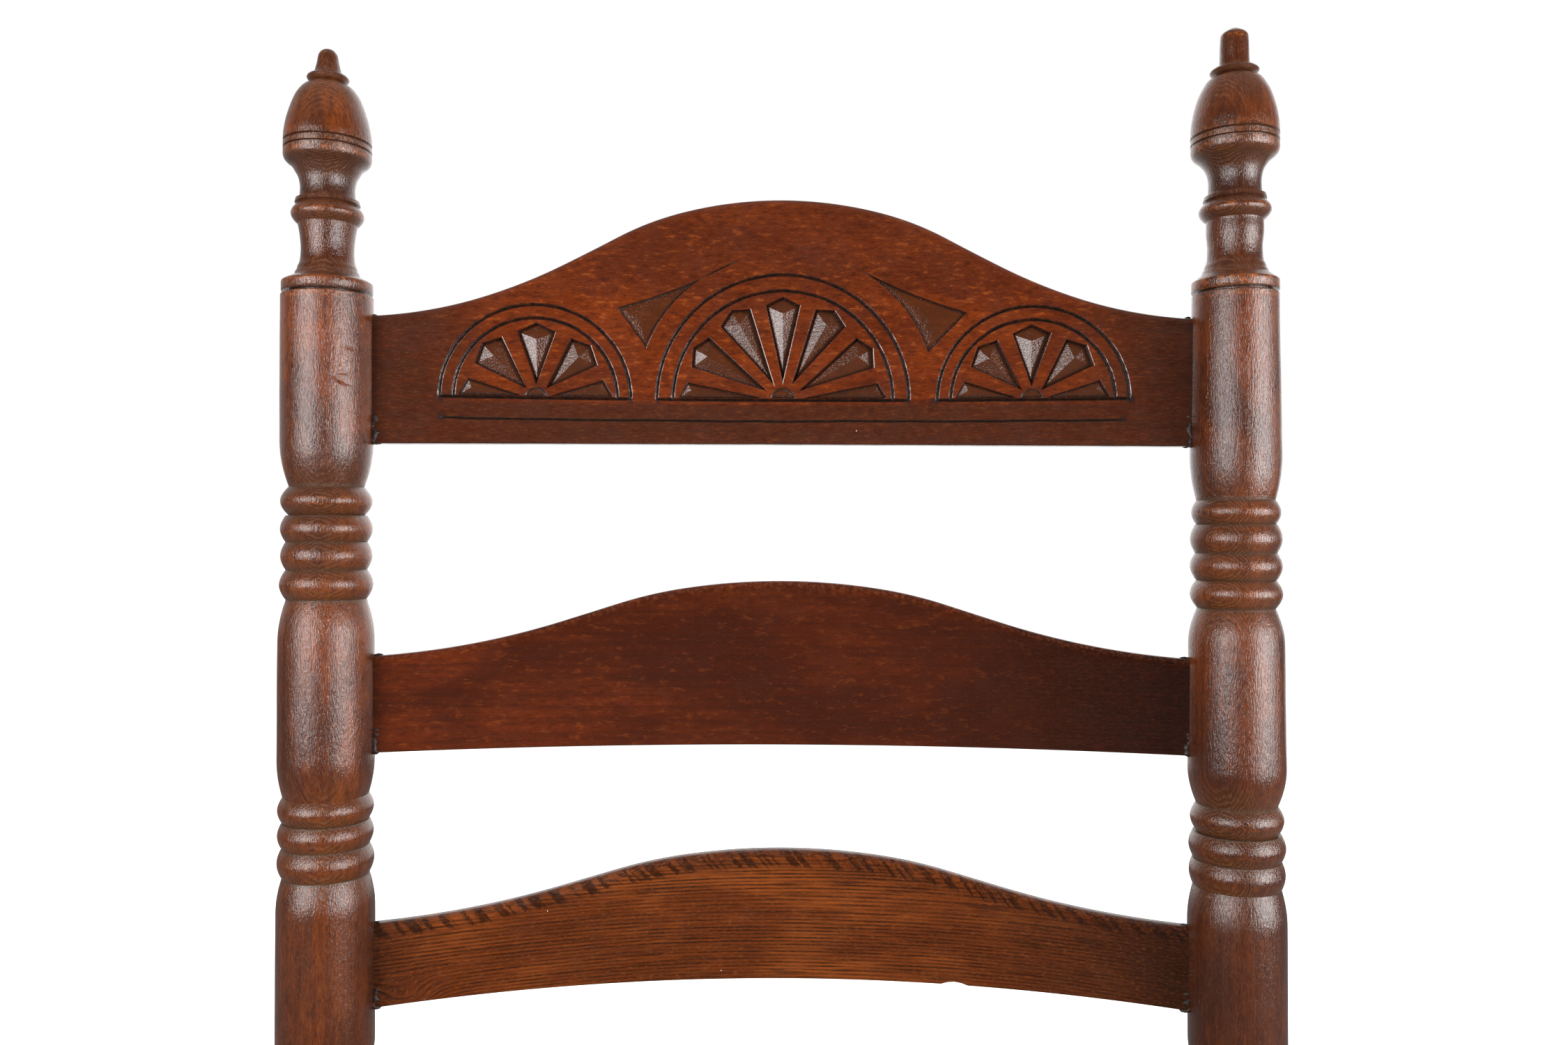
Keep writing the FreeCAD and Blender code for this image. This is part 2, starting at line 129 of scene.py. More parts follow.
def newGroup(name, inputs, outputs):
    group = bpy.data.node_groups.new(name, "ShaderNodeTree")
    for label, kind, default in inputs:
        socket = group.interface.new_socket(label, in_out="INPUT", socket_type=kind)
        if default is not None:
            socket.default_value = default
    for label, kind in outputs:
        group.interface.new_socket(label, in_out="OUTPUT", socket_type=kind)
    entry = group.nodes.new("NodeGroupInput").outputs
    leave = group.nodes.new("NodeGroupOutput").inputs
    return group, entry, leave


def useGroup(tree, group, inputs):
    made = tree.nodes.new("ShaderNodeGroup")
    made.node_tree = group
    for name, value in inputs.items():
        feed(tree, made.inputs[name], value)
    return made.outputs


# Wood figure. Places are in millimetres with the grain along Z, as the pieces store them, so each
# cloud's factors are two across the grain and one along it. A cloud has its detail, roughness and
# swirl, and a span is where its mask begins and ends.
figure = {
    "ringBend": (0.02, 0.02, 0.0042),
    "ruffle": (0.3, 0.3, 0.022), "ruffleHeight": 1.5,
    "ringStart": (0.3, 0.68), "ringEnd": (1.0, 0.86),
    "yearChange": 0.4, "yearLeast": 0.6,
    "ringBreak": (0.8, 0.8, 0.045), "breakSpan": (0.36, 0.56, 0.25, 1.0),
    "poreSpan": (0.54, 0.68),
    "grain": (1.5, 1.5, 0.4),
    "masks": {
        "Flecks": {"factors": (2.6, 2.6, 0.5), "cloud": (2.0, 0.6, 0.0), "span": (0.52, 0.66)},
        "Patches": {"factors": (0.05, 0.05, 0.018), "cloud": (3.0, 0.55, 0.5), "span": (0.36, 0.64)},
        "Streaks": {"factors": (0.36, 0.36, 0.012), "cloud": (3.0, 0.6, 0.0), "span": (0.38, 0.64)},
        "Pale": {"factors": (2.9, 2.9, 0.42), "cloud": (2.0, 0.6, 0.0), "span": (0.53, 0.68)},
    },
}


def buildWoodFigure():
    group, entry, leave = newGroup(
        "woodFigure",
        [
            ("Place", "NodeSocketVector", None),
            ("Ring Spacing", "NodeSocketFloat", 2.0),
            ("Ring Bend", "NodeSocketFloat", 6.0),
            ("Ring Tilt", "NodeSocketFloat", 0.35),
            ("Pore Length", "NodeSocketFloat", 7.0),
            ("Pore Fineness", "NodeSocketFloat", 1.7),
        ],
        [(label, "NodeSocketFloat") for label in ("Rings", "Pores", "Grain", *figure["masks"])],
    )
    place = entry["Place"]
    parts = addNode(group, "ShaderNodeSeparateXYZ", {0: place}).outputs
    slow = calc(group, "SUBTRACT", stretchedCloud(group, place, figure["ringBend"], 1.0), 0.5)
    bend = times(group, slow, entry["Ring Bend"])
    ruffle = calc(group, "SUBTRACT", stretchedCloud(group, place, figure["ruffle"]), 0.5)
    wobble = times(group, ruffle, figure["ruffleHeight"])
    across = timesPlus(group, parts[0], entry["Ring Tilt"], parts[1])
    depth = calc(group, "ADD", calc(group, "ADD", across, bend), wobble)
    turns = calc(group, "DIVIDE", depth, entry["Ring Spacing"])
    saw = calc(group, "FRACT", turns)
    rings = times(group, remap(group, saw, *figure["ringStart"]), remap(group, saw, *figure["ringEnd"]))
    number = calc(group, "FLOOR", turns)
    year = addNode(group, "ShaderNodeTexWhiteNoise", {"W": number}, noise_dimensions="1D")
    broken = remap(group, stretchedCloud(group, place, figure["ringBreak"], 3.0, 0.6), *figure["breakSpan"])
    strength = timesPlus(group, year.outputs["Value"], figure["yearChange"], figure["yearLeast"])
    group.links.new(times(group, times(group, rings, broken), strength), leave["Rings"])

    poreShrink = calc(group, "DIVIDE", 1.0, entry["Pore Length"])
    fineness = entry["Pore Fineness"]
    poreScale = addNode(group, "ShaderNodeCombineXYZ", {0: fineness, 1: fineness, 2: poreShrink}).outputs[0]
    pores = stretchedCloud(group, place, poreScale, 2.0, 0.6)
    group.links.new(remap(group, pores, *figure["poreSpan"]), leave["Pores"])
    group.links.new(stretchedCloud(group, place, figure["grain"], 3.0, 0.66), leave["Grain"])
    for label, mask in figure["masks"].items():
        made = stretchedCloud(group, place, mask["factors"], *mask["cloud"])
        group.links.new(remap(group, made, *mask["span"]), leave[label])
    return group


# Grime in hollows and worn arrises, spread over a finish
def buildAgedSurface():
    group, entry, leave = newGroup(
        "agedSurface",
        [
            ("Color", "NodeSocketColor", None),
            ("Place", "NodeSocketVector", None),
            ("Dirt", "NodeSocketFloat", 0.0),
            ("Wear", "NodeSocketFloat", 0.0),
            ("Grime Color", "NodeSocketColor", None),
            ("Worn Color", "NodeSocketColor", None),
            ("Gloss Roughness", "NodeSocketFloat", 0.3),
            ("Grime Roughness", "NodeSocketFloat", 0.3),
        ],
        [("Color", "NodeSocketColor"), ("Roughness", "NodeSocketFloat"), ("Grime", "NodeSocketFloat")],
    )
    broken = cloud(group, entry["Place"], 0.55, 3.0, 0.65)
    grime = times(group, entry["Dirt"], remap(group, broken, 0.25, 0.62, 0.72, 1.1), limit=True)
    worn = times(group, entry["Wear"], remap(group, broken, 0.42, 0.66), limit=True)
    color = blend(group, worn, entry["Color"], entry["Worn Color"])
    color = blend(group, grime, color, entry["Grime Color"])
    group.links.new(color, leave["Color"])
    group.links.new(grime, leave["Grime"])
    smear = cloud(group, entry["Place"], 0.07, 3.0, 0.6)
    rough = calc(group, "ADD", entry["Gloss Roughness"], remap(group, smear, 0.35, 0.7, -0.05, 0.04))
    rough = timesPlus(group, grime, calc(group, "SUBTRACT", entry["Grime Roughness"], rough), rough)
    group.links.new(rough, leave["Roughness"])
    return group


woodFigure = buildWoodFigure()
agedSurface = buildAgedSurface()
print("stage: node groups ready")


def newMaterial(name):
    material = bpy.data.materials.new(name)
    material.use_nodes = True
    tree = material.node_tree
    tree.nodes.clear()
    return material, tree


# Reads a value that a mesh stores on its points
def readLabel(tree, name, output="Fac"):
    return addNode(tree, "ShaderNodeAttribute", attribute_name=name).outputs[output]


# Ends a material with a bumped surface. Height times distance is the relief in metres.
def endMaterial(tree, color, roughness, height, strength=1.0, distance=millimetre):
    bump = addNode(tree, "ShaderNodeBump", {"Strength": strength, "Distance": distance, "Height": height})
    shader = addNode(tree, "ShaderNodeBsdfPrincipled", {
        "Base Color": color, "Roughness": roughness, "Normal": bump.outputs[0],
    })
    addNode(tree, "ShaderNodeOutputMaterial", {"Surface": shader.outputs[0]})
    return shader, bump


# One varnished wood, with its figure, grime and gloss. Finish holds the colours, the share that each
# covers, and the relief in millimetres.
def varnishedWood(name, finish):
    material, tree = newMaterial(name)
    place = readLabel(tree, "woodPlace", "Vector")
    shade = readLabel(tree, "shade")
    cut = readLabel(tree, "cut")
    rise = readLabel(tree, "rise")
    grown = useGroup(tree, woodFigure, {
        "Place": place,
        "Ring Spacing": finish["ringSpacing"],
        "Ring Bend": finish["ringBend"],
        "Ring Tilt": finish["ringTilt"],
        "Pore Length": finish["poreLength"],
        "Pore Fineness": finish["poreFineness"],
    })
    ringShare = timesPlus(tree, cut, finish["cutRings"], finish["ringShare"])
    spots = stretchedCloud(tree, place, (0.55, 0.55, 0.2), 4.0, 0.62)
    lit = timesPlus(tree, shade, -0.85, 1.0)
    rub = times(tree, remap(tree, spots, 0.55, 0.72, 0.0, finish["rubShare"]), lit)
    stripes = arrisStripes(tree, place, rise)
    color = blend(tree, grown["Patches"], finish["light"], finish["dark"])
    # The shade label darkens towards the shaded colour; on the turned pieces it holds painted shade in the
    # grooves, necks and collar seams as well as their darker tone
    for share, layer in (
        (shade, "shaded"),
        (times(tree, grown["Streaks"], finish["streakShare"]), "streak"),
        (times(tree, grown["Rings"], ringShare), "ring"),
        (times(tree, grown["Pale"], finish["paleShare"]), "pale"),
        (times(tree, grown["Flecks"], finish["fleckShare"]), "fleck"),
        (times(tree, grown["Pores"], finish["poreShare"]), "pore"),
        (times(tree, stripes, finish["stripeShare"]), "pore"),
        (rub, "rubbed"),
        (remap(tree, spots, 0.47, 0.33, 0.0, finish["soilShare"]), "soil"),
        (times(tree, cut, finish["cutShare"]), "cut"),
    ):
        color = blend(tree, share, color, finish[layer])
    aged = useGroup(tree, agedSurface, {
        "Color": color,
        "Place": place,
        "Dirt": readLabel(tree, "dirt"),
        "Wear": readLabel(tree, "wear"),
        "Grime Color": finish["grime"],
        "Worn Color": finish["worn"],
        "Gloss Roughness": timesPlus(tree, cut, finish["cutGloss"], finish["roughness"]),
        "Grime Roughness": finish["grimeRoughness"],
    })
    cells = addNode(tree, "ShaderNodeTexVoronoi", {"Vector": place, "Scale": 0.045}).outputs
    lone = remap(tree, cells["Distance"], 0.014, 0.01, 0.0, finish["speckShare"])
    color = blend(tree, lone, aged["Color"], finish["speck"])
    relief = times(tree, grown["Grain"], finish["grainRelief"])
    dimples = timesPlus(tree, cut, finish["cutRelief"], finish["dimpleRelief"])
    for height, depth in (
        (grown["Rings"], -finish["ringRelief"]),
        (grown["Pores"], -finish["poreRelief"]),
        (stretchedCloud(tree, place, (0.2, 0.2, 0.08)), finish["lumpRelief"]),
        (times(tree, cloud(tree, place, 1.1, 3.0, 0.7), aged["Grime"]), finish["crustRelief"]),
        (cloud(tree, place, 1.15, 3.0, 0.68), dimples),
    ):
        relief = timesPlus(tree, height, depth, relief)
    shader, bump = endMaterial(tree, color, aged["Roughness"], relief)
    shader.inputs["IOR"].default_value = finish["ior"]
    shader.inputs["Coat Weight"].default_value = finish["coat"]
    shader.inputs["Coat Roughness"].default_value = finish["coatRoughness"]
    tree.links.new(bump.outputs[0], shader.inputs["Coat Normal"])
    return material


# Short dark stripes that cross a slat's upper arris. Rise is the height over its top edge, below
# zero on the face, and run the distance from its middle.
def arrisStripes(tree, place, rise):
    ragged = stretchedCloud(tree, place, (0.5, 0.5, 0.5), 2.0, 0.6)
    slant = timesPlus(tree, rise, 0.9, readLabel(tree, "run"))
    slant = timesPlus(tree, ragged, 3.0, slant)
    inputs = {"W": slant, "Scale": 0.21, "Detail": 1.0}
    stripes = addNode(tree, "ShaderNodeTexNoise", inputs, noise_dimensions="1D")
    band = timesPlus(tree, ragged, 5.0, rise)
    return times(tree, remap(tree, stripes.outputs[0], 0.47, 0.55), remap(tree, band, -5.0, -3.0))


turnedFinish = {
    "ringSpacing": 0.9, "ringBend": 3.0, "ringTilt": 0.08, "poreLength": 9.0, "poreFineness": 1.7,
    "light": paint(131, 61, 14), "dark": paint(78, 32, 6),
    "streak": paint(58, 22, 12), "streakShare": 0.5,
    "ring": paint(150, 104, 76), "ringShare": 0.05, "cutRings": 0.38,
    "pale": paint(150, 96, 62), "paleShare": 0.14,
    "fleck": paint(44, 18, 10), "fleckShare": 0.5,
    "pore": paint(40, 18, 12), "poreShare": 0.25,
    "shaded": paint(58, 26, 11), "rubbed": paint(150, 88, 40), "rubShare": 0.25,
    "soil": paint(48, 22, 14), "soilShare": 0.5,
    "cut": paint(90, 58, 40), "cutShare": 0.25, "cutGloss": 0.0, "cutRelief": 0.0, "dimpleRelief": 0.05,
    "grime": paint(84, 62, 40), "worn": paint(140, 76, 32), "grimeRoughness": 0.75,
    "speck": paint(236, 214, 190), "speckShare": 0.0, "stripeShare": 0.0,
    "roughness": 0.22, "coat": 0.34, "coatRoughness": 0.06, "ior": 1.5,
    "grainRelief": 0.25, "ringRelief": 0.01, "poreRelief": 0.02, "lumpRelief": 0.12, "crustRelief": 0.1,
}
crestFinish = dict(
    turnedFinish, ringSpacing=5.0, ringTilt=2.5, ringBend=14.0, poreLength=11.0,
    light=paint(115, 46, 11), dark=paint(91, 34, 9),
    streak=paint(80, 32, 14), streakShare=0.35, ring=paint(64, 28, 14), ringShare=0.16, cutRings=0.0,
    pale=paint(150, 78, 36), paleShare=0.18,
    fleckShare=0.45, poreShare=0.35, fleck=paint(62, 24, 9), pore=paint(56, 22, 10),
    shaded=paint(62, 33, 21), rubbed=paint(156, 78, 30), rubShare=0.55, soil=paint(58, 22, 9), soilShare=0.6,
    cut=paint(66, 36, 19), cutShare=0.75, cutGloss=-0.11, cutRelief=0.17, dimpleRelief=0.0, ior=1.54,
    grime=paint(20, 12, 8), worn=paint(96, 44, 20), grimeRoughness=0.3, roughness=0.2, coat=0.1,
    speckShare=0.8, grainRelief=0.035, crustRelief=0.16, lumpRelief=0.05,
)
secondFinish = dict(
    crestFinish, light=paint(89, 34, 10), dark=paint(66, 24, 8), streak=paint(44, 18, 9), streakShare=0.42,
    shaded=paint(34, 12, 6), poreLength=16.0, rubShare=0.2, pale=paint(136, 74, 44), paleShare=0.1, ior=1.42,
    worn=paint(124, 62, 30),
)
thirdFinish = dict(
    turnedFinish, ringSpacing=3.5, ringTilt=2.2, ringBend=16.0, poreLength=22.0, poreFineness=0.95,
    light=paint(126, 62, 21), dark=paint(96, 42, 10),
    streak=paint(64, 27, 8), streakShare=0.35, ring=paint(44, 17, 4), ringShare=0.98, cutRings=0.0,
    pale=paint(150, 84, 36), paleShare=0.25,
    pore=paint(36, 14, 4), poreShare=0.5, fleckShare=0.15, stripeShare=0.85, soilShare=0.12,
    shaded=paint(48, 20, 9), grime=paint(36, 21, 12), worn=paint(122, 62, 26), grimeRoughness=0.6,
    roughness=0.24, coat=0.04, rubShare=0.12, speckShare=0.8,
    grainRelief=0.05, ringRelief=0.07, poreRelief=0.09, lumpRelief=0.06, dimpleRelief=0.02, ior=1.42,
)
turnedWood = varnishedWood("turnedWood", turnedFinish)
crestWood = varnishedWood("crestWood", crestFinish)
secondWood = varnishedWood("secondWood", secondFinish)
thirdWood = varnishedWood("thirdWood", thirdFinish)


# Rush: dry leaves twisted into a cord, each with its own tone and lighter ribs
def rushStraw():
    material, tree = newMaterial("rushStraw")
    place = readLabel(tree, "strandPlace", "Vector")
    fibres = stretchedCloud(tree, place, (0.06, 3.0, 3.0), 3.0, 0.65)
    blotch = cloud(tree, place, 0.05, 3.0, 0.6)
    color = blend(tree, readLabel(tree, "tone"), paint(200, 165, 106), paint(150, 119, 70))
    color = blend(tree, remap(tree, blotch, 0.4, 0.7, 0.0, 0.6), color, paint(138, 114, 68))
    color = blend(tree, remap(tree, fibres, 0.45, 0.7, 0.0, 0.75), color, paint(104, 78, 42))
    color = blend(tree, readLabel(tree, "dirt"), color, paint(62, 44, 26))
    endMaterial(tree, color, remap(tree, fibres, 0.3, 0.7, 0.42, 0.62), fibres, 0.7, 0.0004)
    return material


# Old glue and dirt squeezed out of the joints
def darkGlue():
    material, tree = newMaterial("darkGlue")
    place = readLabel(tree, "woodPlace", "Vector")
    lumps = cloud(tree, place, 0.9, 4.0, 0.7)
    color = blend(tree, remap(tree, lumps, 0.4, 0.7), paint(28, 17, 14), paint(62, 38, 28))
    endMaterial(tree, color, remap(tree, lumps, 0.35, 0.65, 0.2, 0.55), lumps, 0.8, 0.0004)
    return material


# Bare wood of the seat's rails, which the rush hides
def railWood():
    material, tree = newMaterial("railWood")
    place = addNode(tree, "ShaderNodeTexCoord").outputs["Object"]
    lines = stretchedCloud(tree, place, (90.0, 90.0, 700.0), 3.0, 0.6)
    color = blend(tree, remap(tree, lines, 0.35, 0.7), paint(150, 112, 74), paint(104, 70, 44))
    endMaterial(tree, color, remap(tree, lines, 0.3, 0.7, 0.5, 0.7), lines, 0.4, 0.0003)
    return material


strawMaterial = rushStraw()
glueMaterial = darkGlue()
railMaterial = railWood()
print("stage: materials ready")


# A mesh object from places in millimetres, with values stored on its points
def makeObject(name, places, faces, material, labels=None, sharp=None):
    mesh = bpy.data.meshes.new(name)
    scaled = numpy.asarray(places, dtype=float) * millimetre
    mesh.from_pydata(scaled.tolist(), [], faces)
    mesh.validate()
    for label, values in (labels or {}).items():
        values = numpy.asarray(values, dtype=numpy.float32)
        kind, field = ("FLOAT_VECTOR", "vector") if values.ndim == 2 else ("FLOAT", "value")
        mesh.attributes.new(label, kind, "POINT").data.foreach_set(field, values.ravel())
    mesh.polygons.foreach_set("use_smooth", [True] * len(mesh.polygons))
    if sharp is not None:
        mesh.set_sharp_from_angle(angle=math.radians(sharp))
    mesh.materials.append(material)
    piece = bpy.data.objects.new(name, mesh)
    bpy.context.scene.collection.objects.link(piece)
    return piece


# Stretches of a turned outline, as (height, radius) points from the top down
def arcStretch(start, end, bulge, steps=6):
    along = (end[0] - start[0], end[1] - start[1])
    length = math.hypot(*along)
    if abs(bulge) < 1e-6:
        return [start, end]
    radius = (length / 2) ** 2 / (2 * bulge) + bulge / 2
    half = math.asin(clamp(length / 2 / abs(radius), 0.0, 1.0)) * (1 if bulge > 0 else -1)
    points = []
    for step in range(steps + 1):
        turn = half * (2 * step / steps - 1)
        forward = 0.5 + math.sin(turn) / (2 * math.sin(half))
        out = radius * (math.cos(turn) - math.cos(half))
        points.append((
            start[0] + along[0] * forward + out * along[1] / length,
            start[1] + along[1] * forward - out * along[0] / length,
        ))
    return points


# A smooth curve through all its points
def curveStretch(points, steps=5):
    made = [points[0]]
    for index in range(len(points) - 1):
        p1, p2 = points[index], points[index + 1]
        p0 = points[index - 1] if index else (2 * p1[0] - p2[0], 2 * p1[1] - p2[1])
        p3 = points[index + 2] if index + 2 < len(points) else (2 * p2[0] - p1[0], 2 * p2[1] - p1[1])
        for step in range(1, steps + 1):
            t = step / steps
            weights = (
                -t ** 3 + 2 * t * t - t, 3 * t ** 3 - 5 * t * t + 2,
                -3 * t ** 3 + 4 * t * t + t, t ** 3 - t * t,
            )
            made.append(tuple(
                sum(weight * point[axis] for weight, point in zip(weights, (p0, p1, p2, p3))) / 2
                for axis in range(2)
            ))
    return made


# A small round bead or ring; a lower roundness makes it fuller
def beadStretch(top, bottom, groove, swell, steps=16, roundness=0.92):
    middle = (top + bottom) / 2
    half = (top - bottom) / 2
    points = []
    for step in range(steps + 1):
        turn = math.pi * step / steps
        share = math.cos(turn)
        radius = groove + (swell - groove) * math.cos(math.pi / 2 * share) ** roundness
        points.append((middle + half * share, radius))
    return points


# A long swelling between two grooves, rounded over the length of its ends
def barrelStretch(top, bottom, radii, grooves, ends=(16.0, 16.0), pitch=4.0):
    points = []
    endSteps = 12
    heights = [top - ends[0] * step / endSteps for step in range(endSteps + 1)]
    straight = max(1, round((top - ends[0] - bottom - ends[1]) / pitch))
    flat = (top - ends[0] - bottom - ends[1]) / straight
    heights += [top - ends[0] - flat * step for step in range(1, straight)]
    heights += [bottom + ends[1] * step / endSteps for step in range(endSteps, -1, -1)]
    for height in heights:
        share = (top - height) / (top - bottom)
        radius = radii[0] + (radii[1] - radii[0]) * share
        fromTop = (top - height) / ends[0]
        fromBottom = (height - bottom) / ends[1]
        if fromTop < 1:
            radius = grooves[0] + (radius - grooves[0]) * endSwell(fromTop)
        elif fromBottom < 1:
            radius = grooves[1] + (radius - grooves[1]) * endSwell(fromBottom)
        points.append((height, radius))
    return points


# How full a barrel is at a share of its rounded end
def endSwell(share):
    return 0.75 * math.sin(math.pi / 2 * share) + 0.25 * (1 - (1 - share) ** 3)


# One outline from its stretches; points that all but meet are taken once
def joinStretches(stretches):
    points = []
    nearest = 0.02
    for section in stretches:
        for point in section:
            if not points or math.dist(points[-1], point) > nearest:
                points.append(point)
    return points


# Where a turned piece is soiled and worn, and where its grooves get painted shade. A groove is a lowest point
# with rises of its depth on both sides; wear starts where a point stands out over its neighbours.
soiling = {
    "reach": 4.0, "grooveDepth": 0.8, "level": 0.01,
    "dustReach": 0.5, "dust": 0.5, "grooveShadeReach": 1.6, "grooveShade": 0.9,
    "wearReach": 3.5, "wearFrom": 0.3, "wearRise": 1.6, "crown": 0.35, "crownFade": 0.3,
    "plainShade": 0.2,
}


# Dust and painted shade in the bottoms of a profile's grooves, and wear where it stands out most
def grimeAndWear(profile):
    reach = soiling["reach"]
    grooves = []
    for height, radius in profile:
        above = [other - radius for at, other in profile if 0 < at - height < reach]
        below = [other - radius for at, other in profile if 0 < height - at < reach]
        if not above or not below or min(above + below) < -soiling["level"]:
            continue
        if min(max(above), max(below)) > soiling["grooveDepth"]:
            grooves.append(height)
    dirt, wear, grooveShade = [], [], []
    for height, radius in profile:
        near = [other for at, other in profile if abs(at - height) < soiling["wearReach"]]
        nearest = min([abs(height - groove) for groove in grooves] or [reach])
        dirt.append(soiling["dust"] * math.exp(-(nearest / soiling["dustReach"]) ** 2))
        # painted shade round each groove's bottom, towards the shaded colour
        grooveShade.append(soiling["grooveShade"] * math.exp(-(nearest / soiling["grooveShadeReach"]) ** 2))
        standing = smooth((radius - min(near) - soiling["wearFrom"]) / soiling["wearRise"])
        wear.append(standing * smooth((radius - max(near) + soiling["crown"]) / soiling["crownFade"]))
    return dirt, wear, grooveShade


# How much each point's surface cuts across the grain
def crossCut(profile):
    shares = []
    for index in range(len(profile)):
        above = profile[max(0, index - 1)]
        below = profile[min(len(profile) - 1, index + 1)]
        slope = abs(above[1] - below[1]) / (abs(above[0] - below[0]) + 0.05)
        shares.append(smooth(slope / 0.5))
    return shares


# A turned piece: its profile runs down its own axis, from start to end in the chair. Above
# dustTop it holds no dust.
def makeTurned(
    name, profile, start, end, seed, sides=96, wobble=0.12, dents=(), grainTurn=0, shadeAt=None, dustTop=1e4,
):
    dirt, wear, grooveShade = grimeAndWear(profile)
    slopes = crossCut(profile)
    axis = (Vector(start) - Vector(end)).normalized()
    side = axis.orthogonal().normalized() if abs(axis.z) < 0.9 else Vector((1, 0, 0))
    other = axis.cross(side)
    offset = Vector((seed * 61.7, seed * 37.3, seed * 171.1))
    places, wood, dirtiness, worn, shade, cut, faces = [], [], [], [], [], [], []
    base = Vector(end)
    for (height, radius), grime, rub, dark, slope in zip(profile, dirt, wear, grooveShade, slopes):
        # The darker of the grooves' painted shade and the tone along the piece
        tone = max(dark, shadeAt(height) if shadeAt else soiling["plainShade"])
        for step in range(sides):
            angle = 2 * math.pi * step / sides
            across, back = math.cos(angle), math.sin(angle)
            uneven = noise.noise(Vector((across * 1.3, back * 1.3, height * 0.05)) + offset) * wobble
            local = radius + uneven * clamp(radius / 12)
            for dent in dents:
                local -= dentDepth(dent, height, angle, radius)
            level = base + axis * (height - profile[-1][0])
            places.append(level + side * (across * local) + other * (back * local))
            turned = angle - math.radians(grainTurn)
            grainX = math.cos(turned) * local + offset.x
            grainY = math.sin(turned) * local + offset.y
            wood.append((grainX, grainY, height + offset.z))
            dirtiness.append(grime if height < dustTop else 0.0)
            worn.append(rub)
            shade.append(tone)
            cut.append(slope)
    count = len(profile)
    for row in range(count - 1):
        for step in range(sides):
            following = (step + 1) % sides
            first, second = row * sides, (row + 1) * sides
            faces.append((first + step, second + step, second + following, first + following))
    faces.append(tuple(range(sides)))
    faces.append(tuple((count - 1) * sides + step for step in range(sides - 1, -1, -1)))
    labels = {"woodPlace": wood, "dirt": dirtiness, "wear": worn, "shade": shade, "cut": cut}
    return makeObject(name, places, faces, turnedWood, labels, sharp=38)


# A shallow stroke pressed into a turned piece, at a height and an angle round it
def dentDepth(dent, height, angle, radius):
    turn = (angle - math.radians(dent["angle"]) + math.pi) % (2 * math.pi) - math.pi
    across = turn * radius
    up = height - dent["height"]
    tilt = math.radians(dent["tilt"])
    along = across * math.cos(tilt) + up * math.sin(tilt)
    aside = -across * math.sin(tilt) + up * math.cos(tilt)
    share = (along / dent["length"] * 2) ** 2 + (aside / dent["width"] * 2) ** 2
    return dent["depth"] * math.exp(-share * 1.6) if share < 4 else 0.0


# Beads between the heights of their grooves
def ringGroup(grooves, grooveRadii, swells):
    return [
        beadStretch(grooves[index], grooves[index + 1], grooveRadii[index], swells[index])
        for index in range(len(grooves) - 1)
    ]


# Heights are above the floor, apart from the acorn's, which are above the collar
rearPosts = {
    "left": {
        "side": -1, "tip": 1090.6, "tipRadius": 5.6, "tipTop": 4.3, "flange": 8.9, "lift": 0.0,
        "collar": 981.8,
        "acorn": [
            (92.2, 9.6), (91.0, 11.0), (89.0, 12.6), (87.0, 13.8), (84.5, 14.9), (82.0, 15.8), (79.5, 16.6),
            (77.0, 17.3), (74.0, 17.95), (70.0, 18.5), (67.0, 18.6),
        ],
        "acornRadius": 18.6, "neck": 11.5, "cove": 11.15, "grainTurn": 18,
        "upper": (19.5, 19.5), "upperEnd": 21.0, "collarRadius": 19.2,
        "ringsOne": (897.3, 884.7, 873.1, 861.1, 848.1), "groovesOne": (15.6, 16.9, 17.0, 16.9, 16.8),
        "swellsOne": (19.1, 19.2, 19.1, 19.6), "middle": (20.1, 20.4), "middleEnds": (19.0, 17.0),
        "ringsTwo": (762.2, 751.1, 740.1, 727.3), "groovesTwo": (17.9, 18.2, 18.2, 18.2),
        "swellsTwo": (20.0, 20.0, 20.25), "lower": (20.6, 20.8), "lowerEnd": 15.0, "seed": 3,
    },
    "right": {
        "side": 1, "tip": 1100.0, "tipRadius": 6.4, "tipTop": 5.7, "flange": 10.4, "lift": 2.4,
        "collar": 982.5,
        "acorn": [
            (92.4, 10.6), (91.3, 11.9), (89.5, 13.1), (87.0, 14.5), (84.5, 15.6), (82.0, 16.45), (79.0, 17.3),
            (76.0, 17.95), (72.0, 18.5), (67.0, 18.75),
        ],
        "acornRadius": 18.7, "neck": 11.2, "cove": 11.6, "grainTurn": -38,
        "upper": (18.3, 19.5), "upperEnd": 21.0, "collarRadius": 18.5,
        "ringsOne": (891.5, 880.8, 868.3, 856.7, 844.2), "groovesOne": (16.5, 17.1, 17.1, 16.5, 16.3),
        "swellsOne": (18.7, 19.2, 19.3, 19.4), "middle": (20.0, 20.7), "middleEnds": (16.0, 17.0),
        "ringsTwo": (758.2, 745.9, 734.1, 722.4), "groovesTwo": (17.0, 18.3, 18.6, 18.4),
        "swellsTwo": (19.5, 20.2, 20.1), "lower": (20.8, 20.8), "lowerEnd": 16.0, "seed": 5,
    },
}
lowerTurning = {
    "ringsThree": (639.0, 627.2, 615.4, 603.6), "ringsFour": (518.0, 506.2, 494.4, 482.6),
    "ringsFive": (385.0, 373.2, 361.4, 349.6), "ringsSix": (225.0, 213.2, 201.4, 189.6),
    "footRings": (62.0, 50.2), "groove": 17.2, "swell": 19.9, "barrel": 20.8,
    "ankle": (38.0, 18.8), "heel": (1.8, 13.5), "sole": (0.0, 12.0),
}
postDents = [
    {"height": 945.8, "angle": 305.5, "tilt": 11, "length": 9.3, "width": 1.7, "depth": 0.5},
    {"height": 942.9, "angle": 305.5, "tilt": -24, "length": 10.0, "width": 2.2, "depth": 0.6},
    {"height": 957.5, "angle": 318, "tilt": 0, "length": 6.6, "width": 1.6, "depth": 0.45},
]
